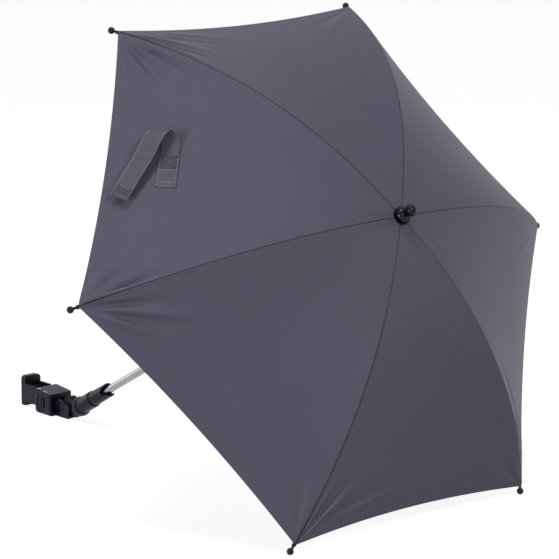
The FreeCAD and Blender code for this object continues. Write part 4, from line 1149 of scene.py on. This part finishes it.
@dataclass
class Studio:
    """Pale floor, soft light and the camera at the photograph's viewing angle."""

    floor_height: float = -17.05
    floor_half: float = 30000.0
    floor_colour: str = "#b8b8b8"
    floor_glow: float = 0.85
    room_light: float = 0.17
    room_colour: tuple[float, ...] = (0.93, 0.95, 1.0, 1.0)
    lit_centre: Point = (0.45, 0.0, 0.25)
    lamps: tuple[tuple[str, Point, float, float, float], ...] = (
        ("left_softbox", (0.1, -0.97, 0.1), 3.0, 0.7, 31.0),
        ("top_softbox", (0.1, -0.2, 0.97), 3.0, 0.8, 20.0),
        ("right_softbox", (0.4, 0.9, 0.1), 3.0, 0.8, 12.0),
        ("front_softbox", (0.8, -0.1, 0.6), 3.0, 0.7, 20.0),
        ("rear_softbox", (-0.94, -0.33, 0.06), 3.2, 0.9, 6.0))
    eye: Point = (2880.35, -2129.94, 907.42)
    forward: Point = (-0.7348, 0.6455, -0.2083)
    focal_px: float = 2939.0
    image_px: float = 559.0
    sensor_mm: float = 36.0
    sight_m: float = 100.0

    def build(self) -> None:
        """Sets the stage, the lights and the camera."""
        bpy.context.scene.view_settings.view_transform = "Standard"
        self.floor()
        self.world()
        self.lights()
        self.camera()

    def floor(self) -> None:
        """A wide pale floor that shows white to the camera and keeps the shadow."""
        half, z = self.floor_half, self.floor_height
        corners = np.array([(-half, -half, z), (half, -half, z), (half, half, z), (-half, half, z)])
        mesh = bpy.data.meshes.new("studio_floor")
        mesh.from_pydata((corners * MM).tolist(), [], [(0, 1, 2, 3)])
        board = show("studio_floor", mesh)
        paint = bpy.data.materials.new("matt_white_floor_paint")
        paint.use_nodes = True
        tree = paint.node_tree
        set_shader(tree, {"Base Color": linear(self.floor_colour), "Roughness": 0.9,
                          "Specular IOR Level": 0.1, "Emission Color": WHITE})
        feed(tree, "Emission Strength", maths(tree, "MULTIPLY", seen_share(tree), self.floor_glow))
        mesh.materials.append(paint)

    def world(self) -> None:
        """A plain bright room: white to the eye and in reflections, softer as a light."""
        room = bpy.data.worlds.new("pale_room")
        room.use_nodes = True
        bpy.context.scene.world = room
        tree = room.node_tree
        sky = tree.nodes["Background"].inputs
        sky["Color"].default_value = self.room_colour
        tree.links.new(ramp(tree, seen_share(tree), 0.0, 1.0, self.room_light, 1.0), sky["Strength"])

    def lights(self) -> None:
        """Softboxes on all sides, of which the weak one behind gives the tube its highlight."""
        centre = Vector(self.lit_centre)
        for name, toward, distance, size, watts in self.lamps:
            lamp = bpy.data.lights.new(name, "AREA")
            lamp.shape = "SQUARE"
            lamp.size = size
            lamp.energy = watts
            spot = centre + Vector(toward).normalized() * distance
            facing = (centre - spot).to_track_quat("-Z", "Y").to_matrix().to_4x4()
            show(name, lamp).matrix_world = Matrix.Translation(spot) @ facing

    def camera(self) -> None:
        """The camera, level and without shift."""
        ahead = Vector(self.forward).normalized()
        right = ahead.cross(Vector((0, 0, 1))).normalized()
        lens = bpy.data.cameras.new("photo_camera")
        lens.sensor_width = self.sensor_mm
        lens.lens = self.sensor_mm * self.focal_px / self.image_px
        lens.clip_end = self.sight_m
        holder = show("photo_camera", lens)
        facing = Matrix((right, right.cross(ahead), -ahead)).transposed().to_4x4()
        holder.matrix_world = Matrix.Translation(Vector(self.eye) * MM) @ facing
        bpy.context.scene.camera = holder


def main() -> None:
    """Builds every part of the scene in order."""
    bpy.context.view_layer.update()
    canopy = Canopy(CanopyShape(), CrownFrame())
    canopy.build()
    TieStrap(canopy).build()
    FoldingFrame().dress()
    Clamp().dress()
    Studio().build()


logging.basicConfig(level=logging.INFO, format="%(name)s: %(message)s")
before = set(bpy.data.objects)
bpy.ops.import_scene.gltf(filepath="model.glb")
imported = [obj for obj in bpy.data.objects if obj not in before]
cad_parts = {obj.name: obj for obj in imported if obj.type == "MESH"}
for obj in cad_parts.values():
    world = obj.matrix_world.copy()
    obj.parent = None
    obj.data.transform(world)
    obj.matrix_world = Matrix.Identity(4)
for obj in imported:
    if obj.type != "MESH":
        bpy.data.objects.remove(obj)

if __name__ == "__main__":
    main()
